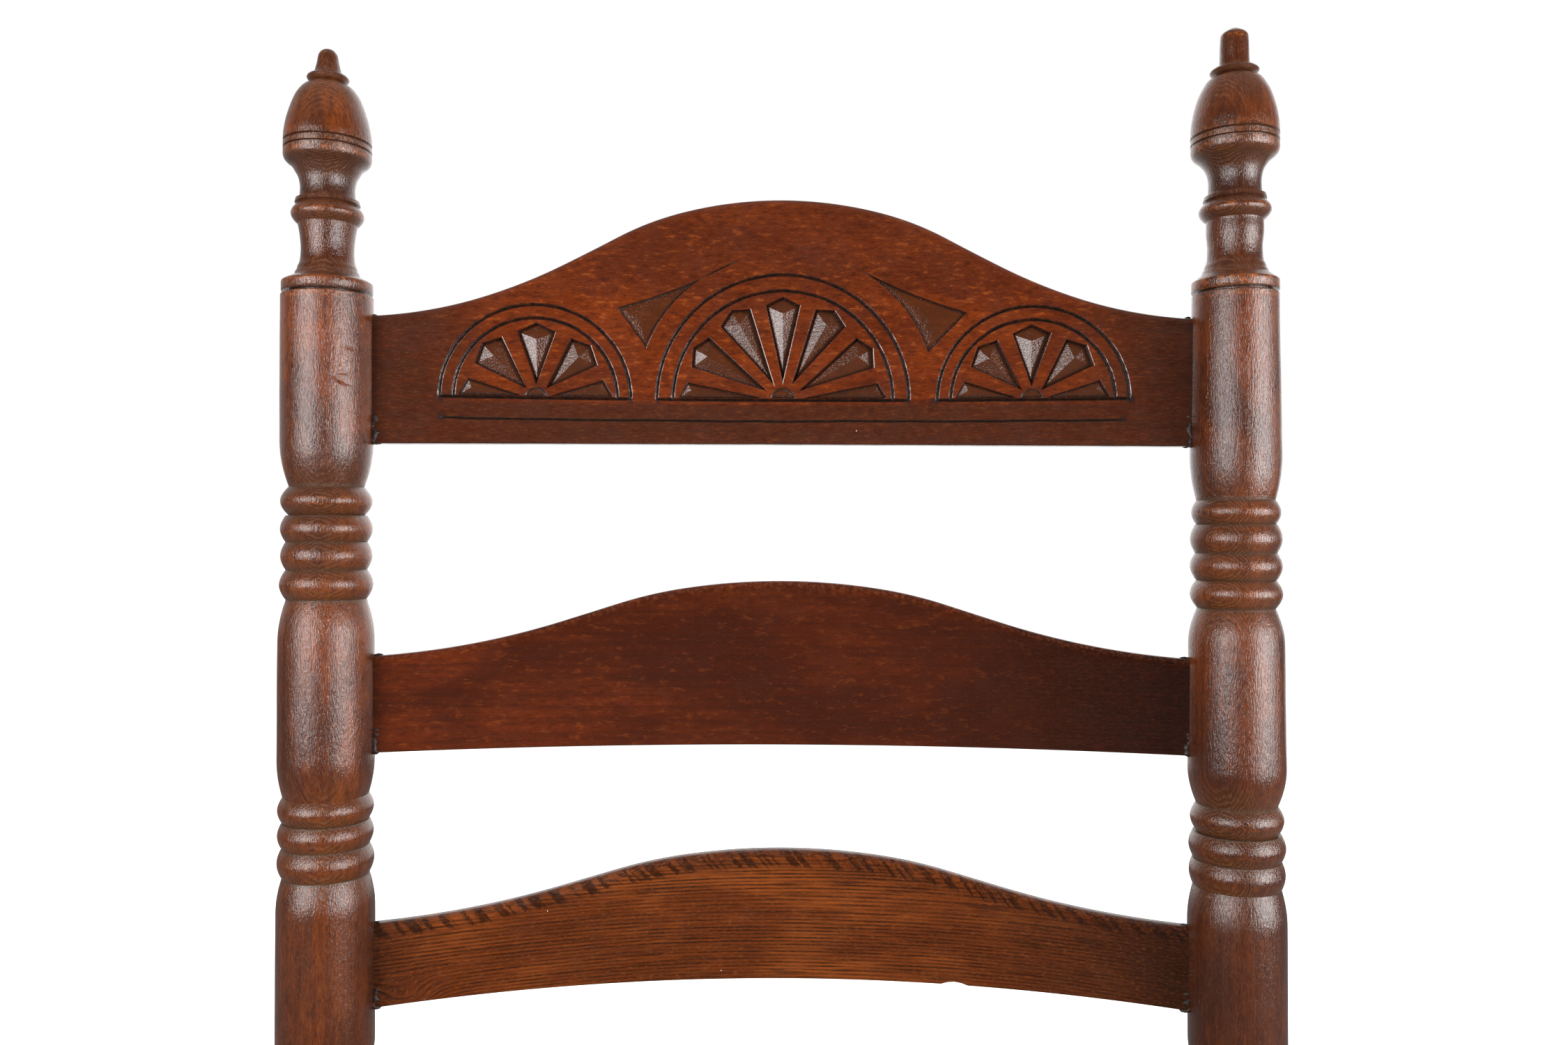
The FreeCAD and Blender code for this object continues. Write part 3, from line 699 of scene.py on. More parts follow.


# The posts are darker towards the bottom, and the right one is darker all along. The necks under the acorns,
# with their beads, and the collars' seams get painted shade, and the tips are darker with built-up varnish.
# Heights are above the collar, apart from lowFrom.
postTones = {
    "neckFrom": 6, "beadFrom": 38, "neckTo": 62, "neck": 0.6, "bead": 0.35, "seamHalf": 0.5,
    "lowFrom": 850, "lowRun": 160, "low": 0.45, "rightLow": 0.3, "leftLow": 0.08, "tipFrom": 93, "tip": 0.6,
}


def postShade(post):
    tones = postTones

    def shadeAt(height):
        above = height - post["collar"]
        under = smooth((tones["neckTo"] - above) / 4)
        # painted shade in the neck under the acorn and over its bead
        neck = tones["neck"] * smooth((above - tones["neckFrom"]) / 3) * under
        bead = tones["bead"] * smooth((above - tones["beadFrom"]) / 5) * under
        # painted shade in the collar's seam
        seam = 1.0 - smooth((abs(above) - tones["seamHalf"]) / 0.6)
        # darker towards the bottom, and the right post darker all along
        least = tones["rightLow"] if post["side"] > 0 else tones["leftLow"]
        low = least + tones["low"] * smooth((tones["lowFrom"] - height) / tones["lowRun"])
        tipped = tones["tip"] * smooth((above - tones["tipFrom"]) / 3)
        return max(neck + bead, seam, low, tipped)

    return shadeAt


# From the tip down: tip, flange, acorn with two scored lines, throat, bead, cove and collar. The
# lift raises all down to the throat, and the bead by half.
def finialProfile(post):
    def at(height, lifted=1.0):
        return post["collar"] + height + post["lift"] * lifted

    tip = post["tip"]
    tipTop = post["tipTop"]
    tipRadius = post["tipRadius"]
    acorn = post["acornRadius"]
    neck = post["neck"]
    cove = post["cove"]
    collarRadius = post["collarRadius"]
    beadRadius = 15.3
    seamRadius = 15.8
    return [
        [(tip, 0.05)] + curveStretch([
            (tip - 0.15, 1.3), (tip - 1.0, 2.9), (tip - 2.9, tipTop - 0.2), (tip - 6.0, tipTop + 0.35),
            (at(99.0), tipRadius), (at(97.7), tipRadius + 0.7),
        ], 4),
        beadStretch(at(97.4), at(93.8), tipRadius + 1.1, post["flange"], 8, 0.7),
        curveStretch([(at(height), radius) for height, radius in post["acorn"]]),
        [(at(66.5), acorn - 1.1), (at(66.1), acorn - 1.1), (at(65.8), acorn)],
        [(at(63.8), acorn), (at(63.5), acorn - 1.1), (at(63.1), acorn - 1.1), (at(62.8), acorn)],
        curveStretch([
            (at(60.6), acorn), (at(59.0), acorn - 0.5), (at(57.6), acorn - 1.7), (at(56.0), acorn - 3.6),
            (at(53.8), neck + 2.1), (at(51.0), neck + 0.7), (at(47.2), neck), (at(43.6, 0.5), neck + 0.15),
            (at(41.9, 0.5), neck + 0.5),
        ]),
        [(at(41.6, 0.5), neck + 1.9), (at(40.0, 0.5), neck + 2.2), (at(39.7, 0.5), neck + 1.4)],
        beadStretch(at(39.5, 0.5), at(30.8, 0.5), neck + 1.0, beadRadius, 16, 0.9),
        curveStretch([
            (at(30.4, 0.5), neck + 0.9), (at(26.5, 0), cove + 0.55), (at(20.8, 0), cove),
            (at(16.0, 0), cove + 0.15), (at(13.6, 0), cove + 0.6), (at(12.2, 0), cove + 1.2),
            (at(10.4, 0), cove + 1.7),
        ]),
        [(at(9.6, 0), cove + 2.3), (at(8.6, 0), cove + 2.6), (at(7.6, 0), cove + 3.4)],
        [(at(7.3, 0), cove + 4.2), (at(6.4, 0), collarRadius - 1.9), (at(5.5, 0), collarRadius - 0.45)],
        [(at(5.2, 0), collarRadius - 0.12), (at(4.7, 0), collarRadius), (at(1.0, 0), collarRadius)],
        [(at(0.6, 0), collarRadius - 0.3), (at(0.4, 0), seamRadius), (at(-0.3, 0), seamRadius)],
        [(at(-0.5, 0), post["upper"][0] - 0.3), (at(-0.9, 0), post["upper"][0])],
    ]


# Even ring groups with a barrel over each but the first, all the way down to the sole
def evenTurning(groupNames):
    turning = lowerTurning
    groove = turning["groove"]
    stretches = []
    above = None
    for groupName in groupNames:
        rings = turning[groupName]
        if above:
            stretches.append(barrelStretch(above, rings[0], (turning["barrel"],) * 2, (groove,) * 2))
        stretches += ringGroup(rings, [groove] * len(rings), [turning["swell"]] * len(rings))
        above = rings[-1]
    return stretches + [
        arcStretch((above, groove), turning["ankle"], 1.2, 8),
        arcStretch(turning["ankle"], turning["heel"], 0.8, 12),
        arcStretch(turning["heel"], turning["sole"], 0.4, 4),
    ]


def rearPostProfile(post):
    one = post["ringsOne"]
    two = post["ringsTwo"]
    three = lowerTurning["ringsThree"]
    groove = lowerTurning["groove"]
    upperTop = post["collar"] - 0.9
    grooveEnds = (post["upper"][0], post["groovesOne"][0])
    stretches = finialProfile(post)
    stretches.append(barrelStretch(upperTop, one[0], post["upper"], grooveEnds, (1.0, post["upperEnd"]), 1.0))
    stretches += ringGroup(one, post["groovesOne"], post["swellsOne"])
    stretches.append(barrelStretch(
        one[-1], two[0], post["middle"], (post["groovesOne"][-1], post["groovesTwo"][0]), post["middleEnds"],
    ))
    stretches += ringGroup(two, post["groovesTwo"], post["swellsTwo"])
    stretches.append(barrelStretch(
        two[-1], three[0], post["lower"], (post["groovesTwo"][-1], groove), (post["lowerEnd"], 16.0),
    ))
    return joinStretches(
        stretches + evenTurning(("ringsThree", "ringsFour", "ringsFive", "ringsSix", "footRings"))
    )


def frontLegProfile():
    barrel = lowerTurning["barrel"]
    groove = lowerTurning["groove"]
    top = chair["legTop"]
    centre = (top - 0.3, 8.0)
    rim = (top - 2.2, barrel - 3.0)
    wall = (top - 6.0, barrel)
    cap = [[(top, 0.05), centre], arcStretch(centre, rim, 0.3, 5), arcStretch(rim, wall, 1.1, 7)]
    upper = barrelStretch(
        wall[0], lowerTurning["ringsFive"][0], (barrel, barrel), (barrel, groove), (0.5, 16.0),
    )
    return joinStretches(cap + [upper] + evenTurning(("ringsFive", "ringsSix", "footRings")))


for sideName, post in rearPosts.items():
    across = post["side"] * chair["postSpread"] / 2
    profile = rearPostProfile(post)
    piece = makeTurned(
        f"turnedRearPost_{sideName}", profile, (across, chair["postPlane"], post["tip"]),
        (across, chair["postPlane"], 0.0), post["seed"], sides=128,
        dents=postDents if sideName == "left" else (), grainTurn=post["grainTurn"],
        shadeAt=postShade(post), dustTop=post["collar"] - 8,
    )
    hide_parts(f"rear_post_{sideName}")
    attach(piece, "root")

for sideName, sign, seed in (("left", -1, 7), ("right", 1, 9)):
    across = sign * chair["legSpread"] / 2
    piece = makeTurned(
        f"turnedFrontLeg_{sideName}", frontLegProfile(), (across, chair["legPlane"], chair["legTop"]),
        (across, chair["legPlane"], 0.0), seed, shadeAt=lambda height: 0.4,
    )
    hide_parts(f"front_leg_{sideName}")
    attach(piece, "root")
print("stage: posts and legs turned")


# Sticks between the uprights. Their outlines are (distance from the middle, radius).
stretchers = {
    "tenon": 7.5, "plainRadius": 11.5, "shoulderRun": 0.4,
    "frontUpper": 300.0, "frontLower": 150.0, "sideUpper": 262.0, "sideLower": 112.0, "rear": 292.0,
}
swelled = {"taper": 40.0, "taperRise": 1.6, "straight": 30.0}
turnedFront = {
    "taper": 34.0, "neckRise": 1.2, "bead": (181.0, 173.0), "beadRise": 4.2, "vaseFoot": 140.0,
    "vaseFootRise": 2.0, "vaseFull": 96.0, "vaseTop": 72.0, "waistRise": 2.6, "rings": (72.0, 63.0, 54.0),
    "ringRise": 3.0, "belly": (54.0, 9.0), "middleRing": 9.0, "middleRise": 3.6,
}


# A plain stick that is thickest in the middle
def swelledStick(halfSpan):
    shoulder = halfSpan - chair["barrelRadius"]
    end = shoulder + chair["tenonDepth"]
    tenon = stretchers["tenon"]
    start = (shoulder - stretchers["shoulderRun"], tenon)
    taper = (halfSpan - swelled["taper"], tenon + swelled["taperRise"])
    half = [[(end, 0.05), (end, tenon), (shoulder, tenon), start]]
    half.append(arcStretch(start, taper, 0.05, 4))
    half.append(arcStretch(taper, (swelled["straight"], stretchers["plainRadius"]), 0.6, 10))
    return mirrorProfile(joinStretches(half))


# A front stick. From each end inwards: neck, bead, vase, two rings, belly and half the middle ring.
def turnedStick(halfSpan, fullRadius):
    form = turnedFront
    shoulder = halfSpan - chair["barrelRadius"]
    end = shoulder + chair["tenonDepth"]
    tenon = stretchers["tenon"]
    neck = tenon + form["neckRise"]
    waist = tenon + form["waistRise"]
    middle = form["middleRing"]
    beadTop, beadFoot = form["bead"]
    vaseFoot = (form["vaseFoot"], tenon + form["vaseFootRise"])
    vaseFull = (form["vaseFull"], fullRadius - 1.5)
    half = [
        [(end, 0.05), (end, tenon), (shoulder, tenon)],
        arcStretch((shoulder - stretchers["shoulderRun"], tenon), (halfSpan - form["taper"], neck), 0.05, 4),
        [(halfSpan - form["taper"], neck), (beadTop, neck)],
        beadStretch(beadTop, beadFoot, neck, tenon + form["beadRise"], 10),
        arcStretch((beadFoot, neck), vaseFoot, 0.1, 6),
        arcStretch(vaseFoot, vaseFull, 1.4, 12),
        arcStretch(vaseFull, (form["vaseTop"], waist), 2.4, 12),
    ]
    for top, foot in zip(form["rings"], form["rings"][1:]):
        half.append(beadStretch(top, foot, waist, waist + form["ringRise"], 10))
    half.append(beadStretch(*form["belly"], waist, fullRadius, 20))
    half.append(beadStretch(middle, -middle, waist, waist + form["middleRise"], 14)[:8])
    return mirrorProfile(joinStretches(half))


def mirrorProfile(half):
    return half + [(-height, radius) for height, radius in reversed(half) if height > 0.01]


# A stick between the axes of two uprights, let into both by its own length
def placeStick(name, node, profile, start, end, seed):
    middle = Vector([(start[axis] + end[axis]) / 2 for axis in range(3)])
    along = (Vector(start) - Vector(end)).normalized()
    half = along * profile[0][0]
    piece = makeTurned(name, profile, middle + half, middle - half, seed, sides=48, wobble=0.15)
    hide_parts(node)
    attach(piece, "root")


legX = chair["legSpread"] / 2
postX = chair["postSpread"] / 2
legY = chair["legPlane"]
postY = chair["postPlane"]
for level, fullRadius, seed in (("Upper", 17.0, 11), ("Lower", 14.5, 12)):
    height = stretchers[f"front{level}"]
    placeStick(
        f"turnedFrontStretcher{level}", f"front_stretcher_{level.lower()}", turnedStick(legX, fullRadius),
        (-legX, legY, height), (legX, legY, height), seed,
    )
    for sideName, sign in (("left", -1), ("right", 1)):
        height = stretchers[f"side{level}"]
        halfSpan = math.hypot(postY - legY, legX - postX) / 2
        placeStick(
            f"swelledSideStretcher{level}_{sideName}", f"side_stretcher_{sideName}_{level.lower()}",
            swelledStick(halfSpan), (sign * legX, legY, height), (sign * postX, postY, height),
            seed * 2 + sign,
        )
placeStick(
    "swelledRearStretcher", "rear_stretcher", swelledStick(postX),
    (-postX, postY, stretchers["rear"]), (postX, postY, stretchers["rear"]), 31,
)
print("stage: stretchers turned")


# Slats: boards bent backwards, with rounded edges and an outline that rises to the middle
slatShape = {
    "reach": 204.0, "bow": 22.9, "thickness": 8.0, "tilt": 0.22, "setBack": 0.9,
    "frontFoot": 0.9, "backRound": 1.6, "roundSteps": 8, "uneven": 0.1,
    "frontPitch": 4.0, "frontEdgeGap": 1.2, "grooveGap": 1.4, "backPitch": 8.0, "backEdgeGap": 2.5,
    "jointFrom": 179.0, "jointDirt": 0.55, "ragged": 3.0, "arrisWear": 0.55,
    "shoulders": [(0, 1.0), (45, 0.895), (75, 0.68), (100, 0.44), (135, 0.17), (178, 0.0), (204, 0.0)],
}
slats = {
    "crest": {"foot": 915.6, "arch": 1.8, "endHeight": 57.4, "rise": 56.4, "arris": 3.4, "dip": 0.9},
    "second": {"foot": 779.2, "arch": 1.6, "endHeight": 43.0, "rise": 33.0, "arris": 3.4, "dip": 0.9},
    "third": {
        "foot": 665.3, "arch": 9.5, "endHeight": 38.8, "rise": 28.6, "arris": 4.6, "dip": -2.6,
        "sweep": 0.00033, "nick": (78.0, 6.0, 1.3), "knot": (-166.0, 5.0, 13.0, 8.0),
    },
    "fourth": {
        "foot": 545.0, "arch": 9.5, "endHeight": 36.0, "rise": 26.0, "arris": 4.6, "dip": -2.6,
        "sweep": 0.00033,
    },
}


# Arcs through all the points, each starting in the direction in which the one before it ends
def smoothArcs(points, steps):
    heading = 0.0
    result = [points[0]]
    for start, end in zip(points, points[1:]):
        chord = math.atan2(end[1] - start[1], end[0] - start[0])
        halfTurn = chord - heading
        bulge = math.dist(start, end) / 2 * math.tan(halfTurn / 2)
        count = max(2, round(math.dist(start, end) / steps))
        # the arc swells to the right of its way when it turns left
        result += arcStretch(start, end, bulge, count)[1:]
        heading = chord + halfTurn
    return result


# How far back a slat is bent at a distance from its middle
def bowAt(across):
    reach = slatShape["reach"]
    bow = slatShape["bow"]
    radius = (reach ** 2 + bow ** 2) / (2 * bow)
    return math.sqrt(radius ** 2 - across ** 2) - (radius - bow)


def slatEdges(slat, step=3.0):
    reach = slatShape["reach"]
    shoulders = [(x, slat["endHeight"] + share * slat["rise"]) for x, share in slatShape["shoulders"]]
    right = smoothArcs(shoulders, step)
    top = [(-x, z) for x, z in reversed(right[1:])] + right
    count = round(2 * reach / step)
    nickAt, nickHalf, nickDepth = slat.get("nick", (0.0, 1.0, 0.0))
    foot = []
    for index in range(count + 1):
        x = -reach + 2 * reach * index / count
        nick = nickDepth * max(0.0, 1 - ((x - nickAt) / nickHalf) ** 2)
        foot.append((x, slatFoot(slat, x) + nick))
    return foot, top


def slatFoot(slat, x):
    return slat["arch"] * (1 - (x / slatShape["reach"]) ** 2)


# Where a slat's point lies in the chair: its places across and up turn with the slat's tilt
def slatSpot(slat, x, z, y):
    tilt = math.radians(slatShape["tilt"])
    return x * math.cos(tilt) + z * math.sin(tilt), y, slat["foot"] + z * math.cos(tilt) - x * math.sin(tilt)


# Where the front of a slat lies, at a distance from its middle
def slatDepth(x):
    return chair["postPlane"] - slatShape["setBack"] + bowAt(x) - slatShape["thickness"] / 2


# Moves an edge inwards along its own normals; its two ends move straight up or down
def insetEdge(edge, distance):
    moved = []
    for index, (x, z) in enumerate(edge):
        before = edge[max(0, index - 1)]
        after = edge[min(len(edge) - 1, index + 1)]
        along = (after[0] - before[0], after[1] - before[1])
        length = math.hypot(*along)
        if index in (0, len(edge) - 1):
            moved.append((x, z + math.copysign(distance, along[0])))
        else:
            moved.append((x - along[1] / length * distance, z + along[0] / length * distance))
    return moved


def slatLoop(foot, top, footInset, topInset):
    return insetEdge(foot, footInset) + insetEdge(list(reversed(top)), topInset)


# A flat net of triangles inside a loop, through given points and edges. Each corner carries
# its depth and grime, as the carving gives them.
def triangleNet(points, edges, carvingAt):
    flat = [Vector(point) for point in points]
    places, _, faces, origins, _, _ = geometry.delaunay_2d_cdt(flat, edges, [], 1, 1e-5)
    where = {index: number for number, origin in enumerate(origins) for index in origin}
    values = [(spot.x, spot.y) + carvingAt(spot.x, spot.y) for spot in places]
    return values, [tuple(face) for face in faces], where


def insidePolygon(x, z, polygon):
    inside = False
    for (x1, z1), (x2, z2) in zip(polygon, polygon[1:] + polygon[:1]):
        if (z1 > z) != (z2 > z) and x < (x2 - x1) * (z - z1) / (z2 - z1) + x1:
            inside = not inside
    return inside


# How far a point is from a path, and how far along the path that is
def distanceToPath(x, z, path):
    best, along, travelled = 1e9, 0.0, 0.0
    for (x1, z1), (x2, z2) in zip(path, path[1:]):
        runX, runZ = x2 - x1, z2 - z1
        length = math.hypot(runX, runZ)
        share = clamp(((x - x1) * runX + (z - z1) * runZ) / (length ** 2 + 1e-12))
        distance = math.hypot(x - x1 - share * runX, z - z1 - share * runZ)
        if distance < best:
            best, along = distance, travelled + share * length
        travelled += length
    return best, along


def frameOf(path, margin):
    across = [point[0] for point in path]
    up = [point[1] for point in path]
    return min(across) - margin, max(across) + margin, min(up) - margin, max(up) + margin


def inFrame(x, z, around):
    return around[0] <= x <= around[1] and around[2] <= z <= around[3]


# The carving on the crest's face, in millimetres from its middle and its foot
carving = {
    "base": 21.9, "grooveHalf": 0.72, "grooveDepth": 0.85, "grooveTaper": 1.6, "halo": 0.3,
    "bevel": 0.13, "facetTilt": 18.5, "cornerTilt": 8.0, "ridgeDepth": 0.3, "wallRun": 0.5, "cleanFrom": 1.5,
    "overrun": 0.7, "groovePitch": 2.0, "tightHalo": 0.08, "hubDepth": 0.7, "hubTurn": 81.0, "hubSteps": 12,
    "cornerSteps": 16, "cornerSag": 1.6, "ridgeStart": 5, "ridgeShare": 0.9,
    "longLine": {"from": -151.0, "to": 152.5, "height": 12.3, "half": 0.45, "depth": 0.5},
    "fans": [
        {
            "x": 0.5, "outer": 57.2, "inner": 49.9, "pitch": 30.0, "apex": 47.3, "shoulder": 44.0,
            "half": 10.3, "point": 8.3, "hub": 5.7,
        },
        *[
            {
                "x": x, "outer": 42.0, "inner": 36.0, "pitch": 45.0, "apex": 34.0, "shoulder": 31.0,
                "half": 15.8, "point": 5.9, "hub": 5.0,
            }
            for x in (-110.4, 112.5)
        ],
    ],
    "corners": [
        {"wide": (-74.7, 63.3), "low": (-61.5, 45.4), "tip": (-19.2, 85.6), "node": (-64.6, 58.6)},
        {"wide": (83.8, 61.5), "low": (66.4, 43.7), "tip": (27.9, 85.2), "node": (70.6, 57.2)},
    ],
}


# A flat face as points and edges for a net, with the chips and scored lines that are cut into it
class CarvedFace:
    def __init__(self, flatDepth=0.0):
        self.points = []
        self.edges = []
        self.chips = []
        self.grooves = []
        self.flatDepth = flatDepth

    def addPath(self, path, closed=False):
        first = len(self.points)
        self.points += path
        self.edges += [(first + index, first + index + 1) for index in range(len(path) - 1)]
        if closed:
            self.edges.append((first + len(path) - 1, first))

    # A scored line: a narrow V that runs out at both ends
    def addGroove(self, path, half=None, depth=None):
        half = half or carving["grooveHalf"]
        depth = depth or carving["grooveDepth"]
        length = sum(math.dist(*pair) for pair in zip(path, path[1:]))
        for offset in (-half - carving["halo"], -half, 0.0, half, half + carving["halo"]):
            self.addPath(taperedOffset(path, offset, length))
        self.grooves.append((path, frameOf(path, 2.0), half, depth, length))

    # A sunken chip: near-upright walls round its outline, and facets that rise to its ridges
    def addChip(self, outline, ridges, halo=None, flat=None, tilt=None):
        self.addPath(insetPolygon(outline, -(carving["halo"] if halo is None else halo)), closed=True)
        self.addPath(outline, closed=True)
        self.addPath(insetPolygon(outline, carving["wallRun"]), closed=True)
        self.addPath(insetPolygon(outline, carving["cleanFrom"]), closed=True)
        for ridge in ridges:
            self.addPath(ridge)
        closed = outline + outline[:1]
        reach = max([distanceToPath(x, z, closed)[0] for ridge in ridges for x, z in ridge] or [1.0])
        slope = math.tan(math.radians(tilt or carving["facetTilt"]))
        deepest = flat or carving["ridgeDepth"] + slope * (reach - carving["wallRun"])
        self.chips.append((closed, frameOf(outline, 1.0), deepest, 0.0 if flat else slope))

    # Depth, grime and whether a chip was cut, at a point
    def carvingAt(self, x, z):
        depth, dirt = 0.0, 0.0
        bevel = carving["bevel"]
        halo = carving["halo"]
        for closed, around, deepest, slope in self.chips:
            if not inFrame(x, z, around):
                continue
            aside = distanceToPath(x, z, closed)[0]
            if insidePolygon(x, z, closed[:-1]) and aside > 0.01:
                run = carving["wallRun"]
                down = bevel + (deepest - bevel) * min(1.0, aside / run) - slope * max(0.0, aside - run)
                clean = smooth((aside - 0.3) / (carving["cleanFrom"] - 0.3))
                return self.flatDepth + down, 0.95 - 0.9 * clean, 1.0
            depth = max(depth, bevel * clamp(1 - aside / halo))
            dirt = max(dirt, 0.4 * clamp(1 - aside / halo))
        for path, around, half, deep, length in self.grooves:
            if not inFrame(x, z, around):
                continue
            aside, along = distanceToPath(x, z, path)
            width = grooveWidth(along, length)
            local = half * width + 1e-6
            share = clamp(1 - aside / local)
            beside = clamp(1 - (aside - local) / halo)
            depth = max(depth, (bevel * beside + share * (deep - bevel)) * width)
            dirt = max(dirt, 0.3 * beside, 0.8 + 0.2 * share if share else 0.0)
        return self.flatDepth + depth, dirt, 0.0


# How wide a scored line is, as a share: it tapers to nothing at both ends
def grooveWidth(along, length):
    return clamp(min(along, length - along) / carving["grooveTaper"]) ** 0.6


# A path moved aside by an offset that tapers with the scored line's width
def taperedOffset(path, offset, length):
    moved = []
    travelled = 0.0
    for index, (x, z) in enumerate(path):
        if index:
            travelled += math.dist(path[index - 1], path[index])
        before = path[max(0, index - 1)]
        after = path[min(len(path) - 1, index + 1)]
        run = math.dist(before, after)
        wide = offset * grooveWidth(travelled, length)
        moved.append((x - (after[1] - before[1]) / run * wide, z + (after[0] - before[0]) / run * wide))
    return moved


# A polygon moved inwards; sharp corners are kept from running too far
def insetPolygon(polygon, distance):
    area = sum(x1 * z2 - x2 * z1 for (x1, z1), (x2, z2) in zip(polygon, polygon[1:] + polygon[:1]))
    way = 1 if area > 0 else -1
    moved = []
    for index, (x, z) in enumerate(polygon):
        before = polygon[index - 1]
        after = polygon[(index + 1) % len(polygon)]
        first = Vector((x - before[0], z - before[1])).normalized()
        second = Vector((after[0] - x, after[1] - z)).normalized()
        normal = Vector((-first.y - second.y, first.x + second.x)) * way
        sine = max(0.16, normal.length / 2)
        normal.normalize()
        moved.append((x + normal.x * distance / sine, z + normal.y * distance / sine))
    return moved


# A point of a fan, by its distance from the centre and its angle from upright
def polar(fan, radius, degrees):
    turn = math.radians(degrees)
    return fan["x"] + radius * math.sin(turn), carving["base"] + radius * math.cos(turn)


def midway(first, second, share=0.5):
    return tuple(a + (b - a) * share for a, b in zip(first, second))


# The middle of the largest circle in a triangle
def triangleHeart(a, b, c):
    sides = (math.dist(b, c), math.dist(c, a), math.dist(a, b))
    total = sum(sides)
    weighted = list(zip(sides, (a, b, c)))
    return tuple(sum(side * corner[axis] for side, corner in weighted) / total for axis in range(2))


# A half-round fan: two scored arcs over a line, petals of four facets, half a petal at each end
# and a hub
def carveFan(face, fan):
    base = carving["base"]
    for radius in (fan["outer"], fan["inner"]):
        count = round(radius * math.pi / carving["groovePitch"])
        overrun = math.degrees(carving["overrun"] / radius)
        span = 180 + 2 * overrun
        face.addGroove([polar(fan, radius, -90 - overrun + span * step / count) for step in range(count + 1)])
    steps = round(fan["outer"] * 2 / 3)
    left = fan["x"] - fan["outer"] - carving["overrun"]
    width = 2 * fan["outer"] + 2 * carving["overrun"]
    face.addGroove([(left + width * step / steps, base) for step in range(steps + 1)])

    inward = math.radians(fan["half"])
    shoulderUp = fan["shoulder"] * math.cos(inward)
    shoulderOut = fan["shoulder"] * math.sin(inward)
    narrow = math.sin(math.atan2(shoulderOut, shoulderUp - fan["point"]))
    blunt = math.sin(math.atan2(shoulderOut, fan["apex"] - shoulderUp))
    node = (fan["point"] * narrow + fan["apex"] * blunt) / (narrow + blunt)
    degrees = -90 + fan["pitch"]
    while degrees < 89:
        point = polar(fan, fan["point"], degrees)
        apex = polar(fan, fan["apex"], degrees)
        shoulders = [polar(fan, fan["shoulder"], degrees + sign * fan["half"]) for sign in (1, -1)]
        middle = polar(fan, node, degrees)
        outline = [point, shoulders[0], apex, shoulders[1]]
        inner = insetPolygon(outline, carving["wallRun"] * 1.02)
        face.addChip(outline, [[corner, middle] for corner in inner])
        degrees += fan["pitch"]
    halo = carving["tightHalo"]
    lift = carving["grooveHalf"] + 0.1
    for sign in (-1, 1):
        point = (fan["x"] + sign * fan["point"], base + lift)
        apex = (fan["x"] + sign * fan["apex"], base + lift)
        shoulder = polar(fan, fan["shoulder"], sign * (90 - fan["half"]))
        outline = [point, apex, shoulder]
        middle = triangleHeart(*outline)
        inner = insetPolygon(outline, carving["wallRun"] * 1.02)
        face.addChip(outline, [[corner, middle] for corner in inner], halo=halo)
    turn = carving["hubTurn"]
    steps = carving["hubSteps"]
    hub = [polar(fan, fan["hub"], -turn + 2 * turn * step / steps) for step in range(steps + 1)]
    face.addChip(hub, [], halo=halo, flat=carving["hubDepth"])


# A leaf beside the middle fan: its inner side winds round the fan, its upper side sags
def carveCorner(face, corner):
    fan = carving["fans"][0]
    centre = Vector((fan["x"], carving["base"]))

    def ringPoint(share):
        first, last = Vector(corner["low"]) - centre, Vector(corner["tip"]) - centre
        turnFirst, turnLast = math.atan2(first.x, first.y), math.atan2(last.x, last.y)
        turn = turnFirst + (turnLast - turnFirst) * share
        radius = first.length + (last.length - first.length) * share
        return centre.x + radius * math.sin(turn), centre.y + radius * math.cos(turn)

    count = carving["cornerSteps"]
    inner = [ringPoint(step / count) for step in range(count + 1)]
    upper = []
    for step in range(1, count):
        x, z = midway(corner["tip"], corner["wide"], step / count)
        upper.append((x, z - carving["cornerSag"] * math.sin(math.pi * step / count)))
    outline = inner + upper + [corner["wide"]]
    node = corner["node"]
    spine = range(carving["ridgeStart"], count - 1)
    ridges = [[node] + [midway(inner[step], upper[count - 1 - step]) for step in spine]]
    for end in ("wide", "low"):
        ridges.append([node, midway(node, corner[end], carving["ridgeShare"])])
    face.addChip(outline, ridges, tilt=carving["cornerTilt"])


# Even points over the plain parts of a face, so that it bends smoothly
def addGrid(face, loop, pitch, edgeGap, grooveGap):
    closed = loop + loop[:1]
    low, high, bottom, top = frameOf(loop, 0.0)
    for column in range(1, int((high - low) / pitch) + 1):
        for row in range(1, int((top - bottom) / pitch) + 1):
            x, z = low + (column - 0.5) * pitch, bottom + (row - 0.5) * pitch
            if not insidePolygon(x, z, loop) or distanceToPath(x, z, closed)[0] < edgeGap:
                continue
            if any(inFrame(x, z, chip[1]) and insidePolygon(x, z, chip[0][:-1]) for chip in face.chips):
                continue
            lines = [line[0] for line in face.grooves if inFrame(x, z, line[1])]
            if any(distanceToPath(x, z, path)[0] < grooveGap for path in lines):
                continue
            face.points.append((x, z))


# The loops round a slat's edge, from its front to its back: how far each is moved in from the
# foot and from the top, and how deep it lies there
def edgeLoops(arris):
    thickness = slatShape["thickness"]
    small = slatShape["frontFoot"]
    backRound = slatShape["backRound"]
    count = slatShape["roundSteps"]
    turns = [math.pi / 2 * step / count for step in range(count + 1)]
    loops = []
    for turn in turns:
        inward, down = 1 - math.sin(turn), 1 - math.cos(turn)
        loops.append((small * inward, arris * inward, small * down, arris * 0.85 * down))
    for turn in turns:
        out, up = 1 - math.cos(turn), 1 - math.sin(turn)
        loops.append((small * out, backRound * out, thickness - small * up, thickness - backRound * up))
    return loops


# The long scored line under the fans, a little unsteady
def longLine():
    line = carving["longLine"]
    count = 90
    path = []
    for step in range(count + 1):
        x = line["from"] + (line["to"] - line["from"]) * step / count
        path.append((x, line["height"] + 0.3 * noise.noise(Vector((step * 0.3, 1.5, 0)))))
    return path


